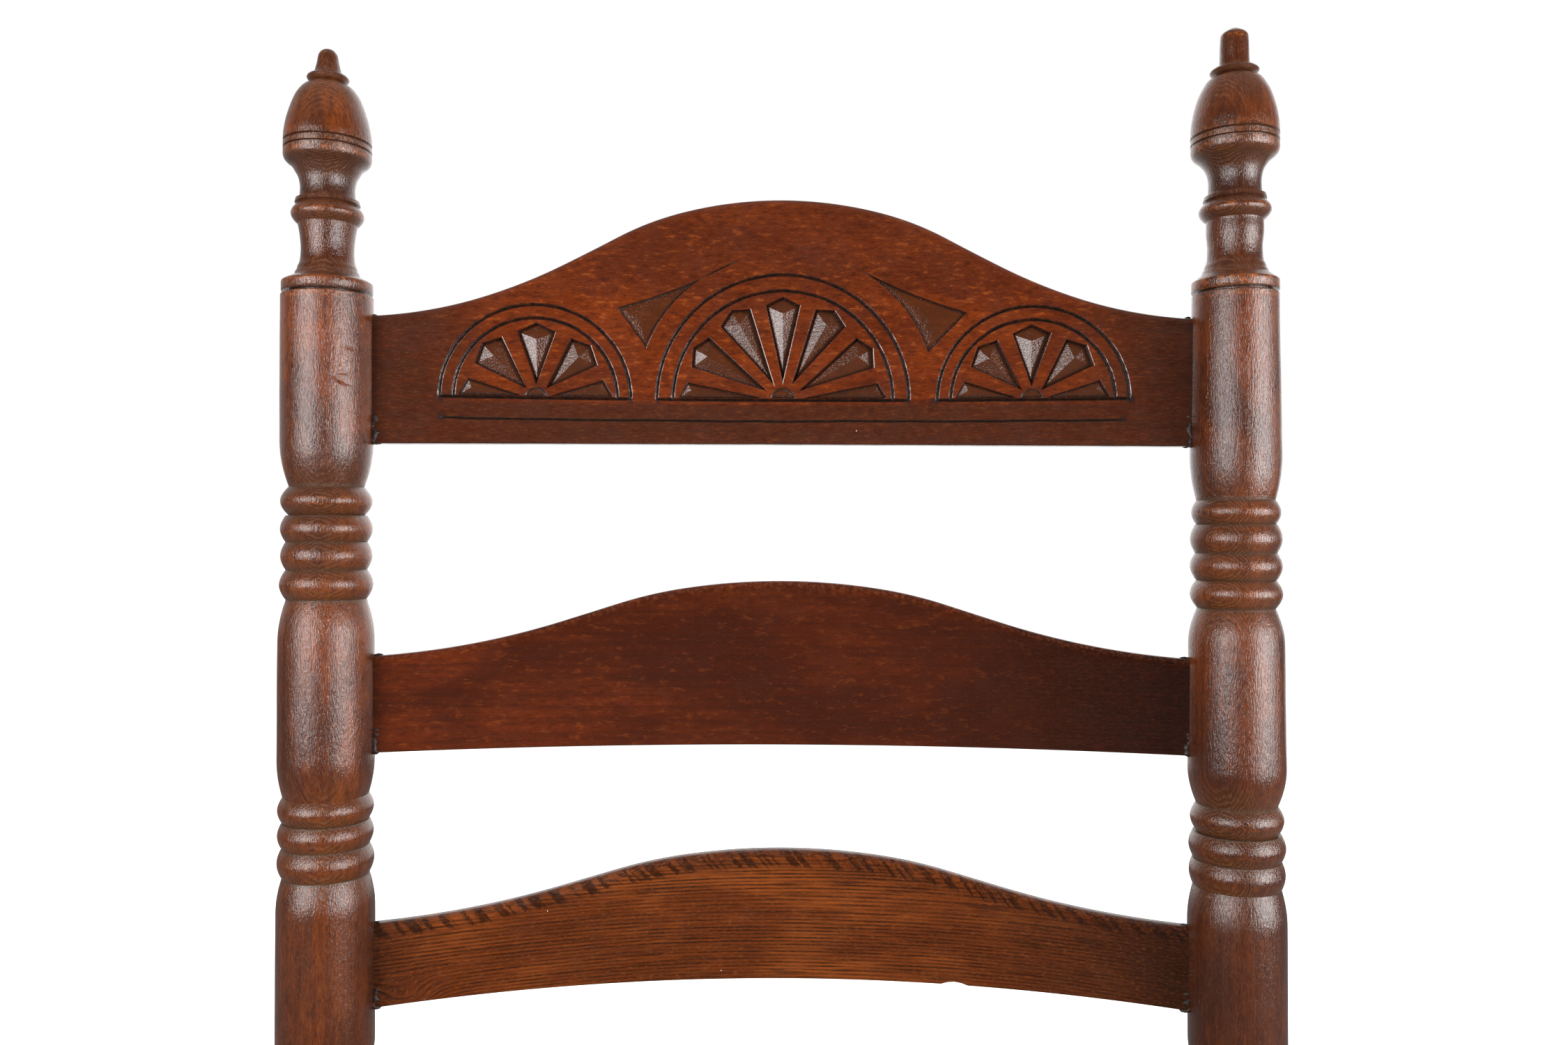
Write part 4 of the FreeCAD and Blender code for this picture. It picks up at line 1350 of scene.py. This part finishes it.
def carveCrest(face):
    for fan in carving["fans"]:
        carveFan(face, fan)
    for corner in carving["corners"]:
        carveCorner(face, corner)
    face.addGroove(longLine(), carving["longLine"]["half"], carving["longLine"]["depth"])


def joinLoops(first, second):
    size = len(first)
    return [(first[i], second[i], second[(i + 1) % size], first[(i + 1) % size]) for i in range(size)]


# The faces of a slat and its points: place across and up, depth, grime and whether a chip was cut
def slatShell(slat, carve):
    foot, top = slatEdges(slat)
    loops = edgeLoops(slat["arris"])
    face = CarvedFace()
    frontLoop = slatLoop(foot, top, loops[0][0], loops[0][1])
    face.addPath(frontLoop, closed=True)
    if carve:
        carveCrest(face)
    addGrid(face, frontLoop, slatShape["frontPitch"], slatShape["frontEdgeGap"], slatShape["grooveGap"])
    front, frontFaces, frontWhere = triangleNet(face.points, face.edges, face.carvingAt)
    backFace = CarvedFace(slatShape["thickness"])
    backLoop = slatLoop(foot, top, loops[-1][0], loops[-1][1])
    backFace.addPath(backLoop, closed=True)
    addGrid(backFace, backLoop, slatShape["backPitch"], slatShape["backEdgeGap"], 0.0)
    back, backFaces, backWhere = triangleNet(backFace.points, backFace.edges, backFace.carvingAt)

    spots = list(front)
    faces = [tuple(reversed(item)) if clockwise(front, item) else item for item in frontFaces]
    size = len(frontLoop)
    previous = [frontWhere[index] for index in range(size)]
    for footInset, topInset, footDepth, topDepth in loops[1:-1]:
        start = len(spots)
        for index, (x, z) in enumerate(slatLoop(foot, top, footInset, topInset)):
            spots.append((x, z, footDepth if index < len(foot) else topDepth, 0.0, 0.0))
        current = list(range(start, start + size))
        faces += joinLoops(previous, current)
        previous = current
    start = len(spots)
    spots += back
    faces += joinLoops(previous, [start + backWhere[index] for index in range(size)])
    for item in backFaces:
        flipped = item if clockwise(back, item) else tuple(reversed(item))
        faces.append(tuple(start + index for index in flipped))
    return spots, faces


def makeSlat(kind, material, carve=False):
    slat = slats[kind]
    spots, faces = slatShell(slat, carve)
    seed = slat["foot"]
    places = []
    labels = {label: [] for label in ("woodPlace", "dirt", "wear", "shade", "cut", "run", "rise")}
    for x, z, depth, grime, chipped in spots:
        uneven = slatShape["uneven"] * noise.noise(Vector((x * 0.03, z * 0.05, seed)))
        places.append(slatSpot(slat, x, z, slatDepth(x) + depth + uneven))
        ragged = slatShape["ragged"] * noise.noise(Vector((x * 0.3, z * 0.5, seed)))
        joint = slatShape["jointDirt"] * smooth((abs(x) + ragged - slatShape["jointFrom"]) / 2)
        edge = topEdgeHeight(slat, x) - z
        worn = slatShape["arrisWear"] * smooth(1 - edge / (slat["arris"] + 1))
        labels["woodPlace"].append(slatGrain(slat, x, z, depth))
        labels["dirt"].append(max(grime, joint))
        labels["wear"].append(worn if depth < slatShape["thickness"] * 0.6 else 0.0)
        labels["shade"].append(slatShade(kind, x, z))
        labels["cut"].append(chipped)
        labels["run"].append(x)
        labels["rise"].append(-edge)
    piece = makeObject(f"bentSlat_{kind}", places, faces, material, labels, sharp=15)
    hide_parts(f"{kind}_slat")
    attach(piece, "root")


# Grain follows the slat's sweep, and turns round a knot where there is one
def slatGrain(slat, x, z, depth):
    seed = slat["foot"]
    up = z + slat.get("sweep", 0.0) * x * x
    if "knot" in slat:
        knotX, knotZ, size, lift = slat["knot"]
        up += lift * math.exp(-((x - knotX) / size) ** 2 - ((z - knotZ) / size * 1.7) ** 2)
    return up + seed, depth * slat["dip"] + seed * 0.37, x + seed * 1.3


# How much darker a slat is, from 0 to 1: the crest at its ends and outside its fans, where it is less worn;
# the second slat towards its right; the third and fourth towards their right ends and at their left joints
def slatShade(kind, x, z):
    if kind == "crest":
        ends = smooth((abs(x) - 118) / 50)
        base = 0.95 * smooth((carving["base"] - z) / 3)
        above = 0.35 * smooth((z - 58) / 30)
        return clamp(max(ends, base, above))
    if kind == "second":
        return clamp(0.3 * smooth((x + 120) / 110) + 0.7 * smooth((x - 40) / 110))
    return 0.97 * smooth((x - 60) / 120) + 0.6 * smooth((-x - 150) / 30)


def clockwise(spots, item):
    (x1, z1), (x2, z2), (x3, z3) = [spots[index][:2] for index in item[:3]]
    return (x2 - x1) * (z3 - z1) - (x3 - x1) * (z2 - z1) < 0


def topEdgeHeight(slat, x):
    shoulders = slatShape["shoulders"]
    for (x1, share1), (x2, share2) in zip(shoulders, shoulders[1:]):
        if x1 <= abs(x) <= x2:
            share = share1 + (share2 - share1) * (abs(x) - x1) / (x2 - x1)
            return slat["endHeight"] + share * slat["rise"]
    return slat["endHeight"]


makeSlat("crest", crestWood, carve=True)
print("stage: crest carved")
makeSlat("second", secondWood)
makeSlat("third", thirdWood)
makeSlat("fourth", thirdWood)
print("stage: slats bent")

# Glue and dirt squeezed out round the slats' ends: a lumpy bead along each joint
jointBead = {
    "width": 2.6, "widthChange": 3.0, "fineChange": 0.9, "leastWidth": 0.9,
    "height": 0.6, "heightChange": 0.9, "leastHeight": 0.18, "step": 0.6, "sides": 8, "overlap": 0.7,
    "postRadius": {"crest": 19.4, "second": 20.2, "third": 20.6, "fourth": 20.7},
    "topFrontRound": 3.0, "cornerSteps": 4,
}


# The outline of a slat's end, as (depth, height) points and their outward directions. Each corner
# is a quarter turn, from its first angle.
def endOutline(slat, x):
    thickness = slatShape["thickness"]
    low = slatFoot(slat, x)
    high = slat["endHeight"]
    front = slatShape["frontFoot"]
    arris = jointBead["topFrontRound"]
    back = slatShape["backRound"]
    path = []
    for depth, height, radius, first in (
        (front, low + front, front, 270),
        (arris, high - arris, arris, 90),
        (thickness - back, high - back, back, 0),
        (thickness - back, low + back, back, -90),
    ):
        for step in range(jointBead["cornerSteps"] + 1):
            turn = math.radians(first - 90 * step / jointBead["cornerSteps"])
            across, up = math.cos(turn), math.sin(turn)
            path.append((depth + radius * across, height + radius * up, across, up))
    return path


def makeJointBead(kind, sideName, sign):
    slat = slats[kind]
    seed = slat["foot"] + sign * 7
    jointX = chair["postSpread"] / 2 - jointBead["postRadius"][kind]
    outline = endOutline(slat, jointX)
    ring = []
    for (y1, z1, ny1, nz1), (y2, z2, ny2, nz2) in zip(outline, outline[1:] + outline[:1]):
        count = max(1, round(math.dist((y1, z1), (y2, z2)) / jointBead["step"]))
        for step in range(count):
            share = step / count
            normal = Vector((ny1 + (ny2 - ny1) * share, nz1 + (nz2 - nz1) * share)).normalized()
            ring.append((y1 + (y2 - y1) * share, z1 + (z2 - z1) * share, normal))
    sides = jointBead["sides"]
    places, wood, faces = [], [], []
    for depth, height, normal in ring:
        at = Vector((depth * 0.45, height * 0.45, seed))
        fine = Vector((depth * 1.6, height * 1.6, seed + 5))
        lump = noise.noise(at)
        ripple = noise.noise(fine)
        width = jointBead["width"] + jointBead["widthChange"] * lump + jointBead["fineChange"] * ripple
        width = max(jointBead["leastWidth"], width)
        rise = jointBead["height"] + jointBead["heightChange"] * (0.6 * lump + 0.6 * ripple)
        rise = max(jointBead["leastHeight"], rise)
        for step in range(sides):
            turn = 2 * math.pi * step / sides
            x = sign * (jointX + jointBead["overlap"] - width / 2 - math.cos(turn) * width / 2)
            out = math.sin(turn) * rise
            z = height + normal.y * out
            y = slatDepth(x) + depth + normal.x * out
            places.append(slatSpot(slat, x, z, y))
            wood.append((x, y, z + seed))
    total = len(ring)
    for index in range(total):
        first, second = index * sides, (index + 1) % total * sides
        for step in range(sides):
            following = (step + 1) % sides
            corners = (first + step, second + step, second + following, first + following)
            faces.append(corners if sign > 0 else tuple(reversed(corners)))
    piece = makeObject(f"jointGlue_{kind}_{sideName}", places, faces, glueMaterial, {"woodPlace": wood})
    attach(piece, "root")


for kind in slats:
    for sideName, sign in (("left", -1), ("right", 1)):
        makeJointBead(kind, sideName, sign)
print("stage: joints glued")


# The rush seat: each cord comes up from below, wraps a rail and runs to the diagonal
seat = {
    "crossRail": 424.0, "sideRail": 436.0, "railRadius": 13.0, "cord": 3.0, "pitch": 5.55,
    "middleHalf": 36.0, "dish": 13.0, "twist": 13.0, "cordSides": 8, "stepLength": 2.6,
    "runStep": 9.0, "sag": 0.8, "sway": 0.5, "jitter": 0.25, "diveRun": 4.5, "diveDepth": 6.0, "shortBy": 3.0,
    "overlap": 1.04, "lobe": 0.13, "legGap": 0.4, "cornerTurns": 5, "cornerDrop": 9.0,
    "cornerFrom": -12, "cornerSweep": 114, "cornerSteps": 8,
}
random.seed(20)


# The route of one turn: below the seat to the rail, round it, and back above the seat. Share is
# how far in it ends, from the corner to the middle seam, where the seat is dished most.
def panelCord(railPoint, inward, railHeight, share, runLength):
    outward = -inward
    radius = seat["railRadius"] + seat["cord"]
    middleHeight = (seat["crossRail"] + seat["sideRail"]) / 2
    meetTop = middleHeight + seat["railRadius"] + seat["cord"] - seat["dish"] * share
    meetBottom = 2 * middleHeight - meetTop
    up = Vector((0, 0, 1))
    rail = Vector((railPoint[0], railPoint[1], railHeight))
    path = []
    sway = random.uniform(-seat["sway"], seat["sway"])
    for end, sign in ((meetBottom, -1), (meetTop, 1)):
        run = []
        steps = max(2, int(runLength / seat["runStep"]))
        for step in range(steps + 1):
            part = step / steps
            height = (railHeight + sign * radius) * (1 - part) + end * part
            sag = math.sin(math.pi * part) * seat["sag"] * sign
            spot = rail + inward * (runLength * part)
            spot.z = height - sag + random.uniform(-seat["jitter"], seat["jitter"])
            run.append(spot)
        dive = rail + inward * (runLength + seat["diveRun"])
        dive.z = end - sign * seat["diveDepth"]
        run.append(dive)
        if sign < 0:
            path += list(reversed(run))
            for step in range(1, 8):
                turn = -math.pi / 2 + math.pi * step / 8
                path.append(rail + outward * (radius * math.cos(turn)) + up * (radius * math.sin(turn)))
        else:
            path += run
    side = Vector((-inward.y, inward.x, 0))
    return [spot + side * (sway * math.sin(index * 0.4)) for index, spot in enumerate(path)]


# Even steps along a smooth curve through a path's points
def smoothPath(path):
    lengths = [0.0]
    for first, second in zip(path, path[1:]):
        lengths.append(lengths[-1] + (second - first).length)
    count = max(4, int(lengths[-1] / seat["stepLength"]))
    result = []
    segment = 0
    for index in range(count + 1):
        at = lengths[-1] * index / count
        while segment < len(path) - 2 and lengths[segment + 1] < at:
            segment += 1
        local = (at - lengths[segment]) / (lengths[segment + 1] - lengths[segment])
        p1, p2 = path[segment], path[segment + 1]
        p0 = path[segment - 1] if segment else p1 * 2 - p2
        p3 = path[segment + 2] if segment + 2 < len(path) else p2 * 2 - p1
        square, cube = local * local, local ** 3
        result.append(0.5 * ((2 * p1) + (p2 - p0) * local + (2 * p0 - 5 * p1 + 4 * p2 - p3) * square
                             + (3 * p1 - p0 - 3 * p2 + p3) * cube))
    return result


# A twisted cord along a route, added to the seat's mesh. It is darker at its ends.
def cordMesh(path, places, faces, labels, tone):
    sides = seat["cordSides"]
    radius = seat["cord"] * seat["overlap"]
    start = len(places)
    phase = random.uniform(0, 6.28)
    travelled = 0.0
    for index, spot in enumerate(path):
        ahead = path[min(index + 1, len(path) - 1)] - path[max(index - 1, 0)]
        ahead.normalize()
        side = ahead.cross(Vector((0, 0, 1)))
        side = side.normalized() if side.length > 0.2 else ahead.cross(Vector((1, 0, 0))).normalized()
        if side.length < 0.5:
            side = ahead.orthogonal().normalized()
        over = side.cross(ahead)
        if index:
            travelled += (spot - path[index - 1]).length
        for step in range(sides):
            turn = 2 * math.pi * step / sides
            lobes = 1 + seat["lobe"] * math.cos(2 * (turn - 2 * math.pi * travelled / seat["twist"]) + phase)
            local = radius * lobes * (1 + 0.06 * noise.noise(Vector((travelled * 0.12, phase, 0))))
            places.append(spot + side * (math.cos(turn) * local) + over * (math.sin(turn) * local))
            labels["strandPlace"].append((travelled + tone * 900, turn * radius, phase * 9))
            labels["tone"].append(tone)
            edge = min(index, len(path) - 1 - index)
            labels["dirt"].append(0.75 * clamp(1 - edge / 3))
    for index in range(len(path) - 1):
        for step in range(sides):
            following = (step + 1) % sides
            a, b = start + index * sides, start + (index + 1) * sides
            faces.append((a + step, a + following, b + following, b + step))
    faces.append(tuple(start + step for step in range(sides - 1, -1, -1)))
    faces.append(tuple(start + (len(path) - 1) * sides + step for step in range(sides)))


# A cord's route round a leg at the seat's corner, one turn over the other
def cornerLoop(sign, edgeY, cornerX, way, clear, turn):
    height = seat["crossRail"] - seat["cornerDrop"] + turn * 2 * seat["cord"]
    loop = []
    for step in range(seat["cornerSteps"] + 1):
        angle = math.radians(seat["cornerFrom"] + seat["cornerSweep"] * step / seat["cornerSteps"])
        x = sign * (cornerX - clear * math.cos(angle))
        loop.append(Vector((x, edgeY + way * clear * math.sin(angle), height)))
    return loop


def weaveSeat():
    places, faces = [], []
    labels = {"strandPlace": [], "tone": [], "dirt": []}
    middleY = (legY + postY) / 2
    slot = seat["middleHalf"]
    clear = chair["barrelRadius"] + seat["cord"] + seat["legGap"]
    edges = ((legY, legX, 1), (postY, postX, -1))
    for edgeY, cornerX, way in edges:
        reach = cornerX - clear
        count = int(2 * reach / seat["pitch"])
        for index in range(count + 1):
            x = -reach + 2 * reach * index / count
            share = clamp((cornerX - abs(x)) / (cornerX - slot))
            run = abs(middleY - edgeY) * share
            path = panelCord((x, edgeY), Vector((0, way, 0)), seat["crossRail"], share, run - seat["shortBy"])
            cordMesh(smoothPath(path), places, faces, labels, random.random())
    for sign in (-1, 1):
        inward = Vector((-sign, 0, 0))
        low, high = legY + clear, postY - clear
        count = int((high - low) / seat["pitch"])
        for index in range(count + 1):
            y = low + (high - low) * index / count
            along = (y - legY) / (postY - legY)
            railX = legX + (postX - legX) * along
            nearY = legY if y < middleY else postY
            share = clamp(abs(y - nearY) / abs(middleY - nearY))
            cornerX = legX if y < middleY else postX
            run = railX - (cornerX + (slot - cornerX) * share)
            run = max(run - seat["shortBy"], 4.0)
            path = panelCord((sign * railX, y), inward, seat["sideRail"], share, run)
            cordMesh(smoothPath(path), places, faces, labels, random.random())
    for edgeY, cornerX, way in edges:
        for sign in (-1, 1):
            for turn in range(seat["cornerTurns"]):
                loop = cornerLoop(sign, edgeY, cornerX, way, clear, turn)
                cordMesh(smoothPath(loop), places, faces, labels, random.random())
    piece = makeObject("wovenRushSeat", places, faces, strawMaterial, labels)
    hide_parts("rush_seat")
    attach(piece, "root")


weaveSeat()
print("stage: seat woven")

for railName in ("front", "rear", "left", "right"):
    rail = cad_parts[f"seat_rail_{railName}"]
    rail.data.materials.clear()
    rail.data.materials.append(railMaterial)


# Studio: a pale floor, two soft lamps in front, a wide weak one behind and a white surround
studio = {
    "ambient": (0.33, 0.55), "roomGloss": 0.03, "wallGloss": 0.5, "ceilingGloss": 0.25, "floorGloss": 0.1,
    "floorNear": 0.9, "floorFar": 1.7, "floorGlow": 0.8, "floorHalf": 30,
    "floorSeen": (0.9, 0.9, 0.89, 1), "floorMirrored": (0.12, 0.12, 0.12, 1),
    "floorBounce": (0.35, 0.35, 0.35, 1),
    "lampColor": (1.0, 0.985, 0.98),
    "leftLamp": {"at": (-0.88, -0.95, 1.04), "size": (0.42, 0.85), "watts": 18.5},
    "rightLamp": {"at": (1.62, -0.85, 0.95), "size": (0.72, 1.05), "watts": 40.0},
    "backLamp": {"at": (0.3, 2.7, 1.7), "size": (4.0, 3.0), "watts": 40.0},
    "aim": (0.0, 0.18, 1.0),
}


def addLamp(name, lamp):
    light = bpy.data.lights.new(name, "AREA")
    light.shape = "RECTANGLE"
    light.size, light.size_y = lamp["size"]
    light.energy = lamp["watts"]
    light.color = studio["lampColor"]
    holder = bpy.data.objects.new(name, light)
    holder.location = lamp["at"]
    holder.rotation_euler = (Vector(studio["aim"]) - Vector(lamp["at"])).to_track_quat("-Z", "Y").to_euler()
    holder.visible_camera = False
    bpy.context.scene.collection.objects.link(holder)


for lampName in ("leftLamp", "rightLamp", "backLamp"):
    addLamp(lampName, studio[lampName])

# White to the camera, and a dim room to the chair: it mirrors a wall behind and a ceiling
def makeSurround():
    world = bpy.data.worlds.new("studioWorld")
    bpy.context.scene.world = world
    world.use_nodes = True
    tree = world.node_tree
    tree.nodes.clear()
    rays = addNode(tree, "ShaderNodeLightPath").outputs
    direction = addNode(tree, "ShaderNodeTexCoord").outputs["Generated"]
    heading = addNode(tree, "ShaderNodeSeparateXYZ", {0: direction}).outputs
    wall = remap(tree, heading[1], 0.05, 0.6, studio["roomGloss"], studio["wallGloss"])
    ceiling = remap(tree, heading[2], 0.45, 0.95, 0.0, studio["ceilingGloss"])
    mirrored = times(tree, rays["Is Glossy Ray"], calc(tree, "MAXIMUM", wall, ceiling))
    ambient = times(tree, rays["Is Diffuse Ray"], remap(tree, heading[2], -0.2, 0.8, *studio["ambient"]))
    seen = calc(tree, "MAXIMUM", rays["Is Camera Ray"], rays["Is Transmission Ray"])
    level = calc(tree, "MAXIMUM", seen, calc(tree, "MAXIMUM", ambient, mirrored))
    background = addNode(tree, "ShaderNodeBackground", {"Color": (1, 1, 1, 1), "Strength": level})
    addNode(tree, "ShaderNodeOutputWorld", {"Surface": background.outputs[0]})


# The floor keeps the shadow near the chair and glows white further out. It is darker where it
# is mirrored or lights the chair from below.
def makeFloor():
    material, tree = newMaterial("paleFloor")
    rays = addNode(tree, "ShaderNodeLightPath").outputs
    place = addNode(tree, "ShaderNodeNewGeometry").outputs["Position"]
    fromChair = addNode(tree, "ShaderNodeVectorMath", {0: place}, operation="LENGTH").outputs["Value"]
    whitening = remap(tree, fromChair, studio["floorNear"], studio["floorFar"], 0.0, studio["floorGlow"])
    seen = calc(tree, "MAXIMUM", rays["Is Camera Ray"], rays["Is Transmission Ray"])
    seen = calc(tree, "MAXIMUM", seen, times(tree, rays["Is Glossy Ray"], studio["floorGloss"]))
    color = blend(tree, rays["Is Glossy Ray"], studio["floorSeen"], studio["floorMirrored"])
    color = blend(tree, rays["Is Diffuse Ray"], color, studio["floorBounce"])
    shader = addNode(tree, "ShaderNodeBsdfPrincipled", {"Base Color": color, "Roughness": 0.8})
    shader.inputs["Specular IOR Level"].default_value = 0.1
    shader.inputs["Emission Color"].default_value = (1, 1, 1, 1)
    tree.links.new(times(tree, seen, whitening), shader.inputs["Emission Strength"])
    addNode(tree, "ShaderNodeOutputMaterial", {"Surface": shader.outputs[0]})
    mesh = bpy.data.meshes.new("floor")
    half = studio["floorHalf"]
    corners = [(-half, -half, 0), (half, -half, 0), (half, half, 0), (-half, half, 0)]
    mesh.from_pydata(corners, [], [(0, 1, 2, 3)])
    mesh.materials.append(material)
    floor = bpy.data.objects.new("floor", mesh)
    bpy.context.scene.collection.objects.link(floor)


makeSurround()
makeFloor()

# Camera: close in front of the back, level, as the photograph was taken
view = {
    "distance": 546.0, "height": 877.5, "across": 1.2, "pitch": 0.44,
    "focalPixels": 1780.0, "pictureWidth": 2250.0, "sensor": 36.0,
}
cameraData = bpy.data.cameras.new("camera")
cameraData.sensor_width = view["sensor"]
cameraData.lens = view["focalPixels"] / view["pictureWidth"] * view["sensor"]
cameraData.clip_start = 0.01
camera = bpy.data.objects.new("camera", cameraData)
camera.location = Vector((view["across"], chair["postPlane"] - view["distance"], view["height"])) * millimetre
camera.rotation_euler = (math.radians(90 + view["pitch"]), 0, 0)
bpy.context.scene.collection.objects.link(camera)
bpy.context.scene.camera = camera
bpy.context.scene.view_settings.view_transform = "Standard"
print("stage: studio ready")
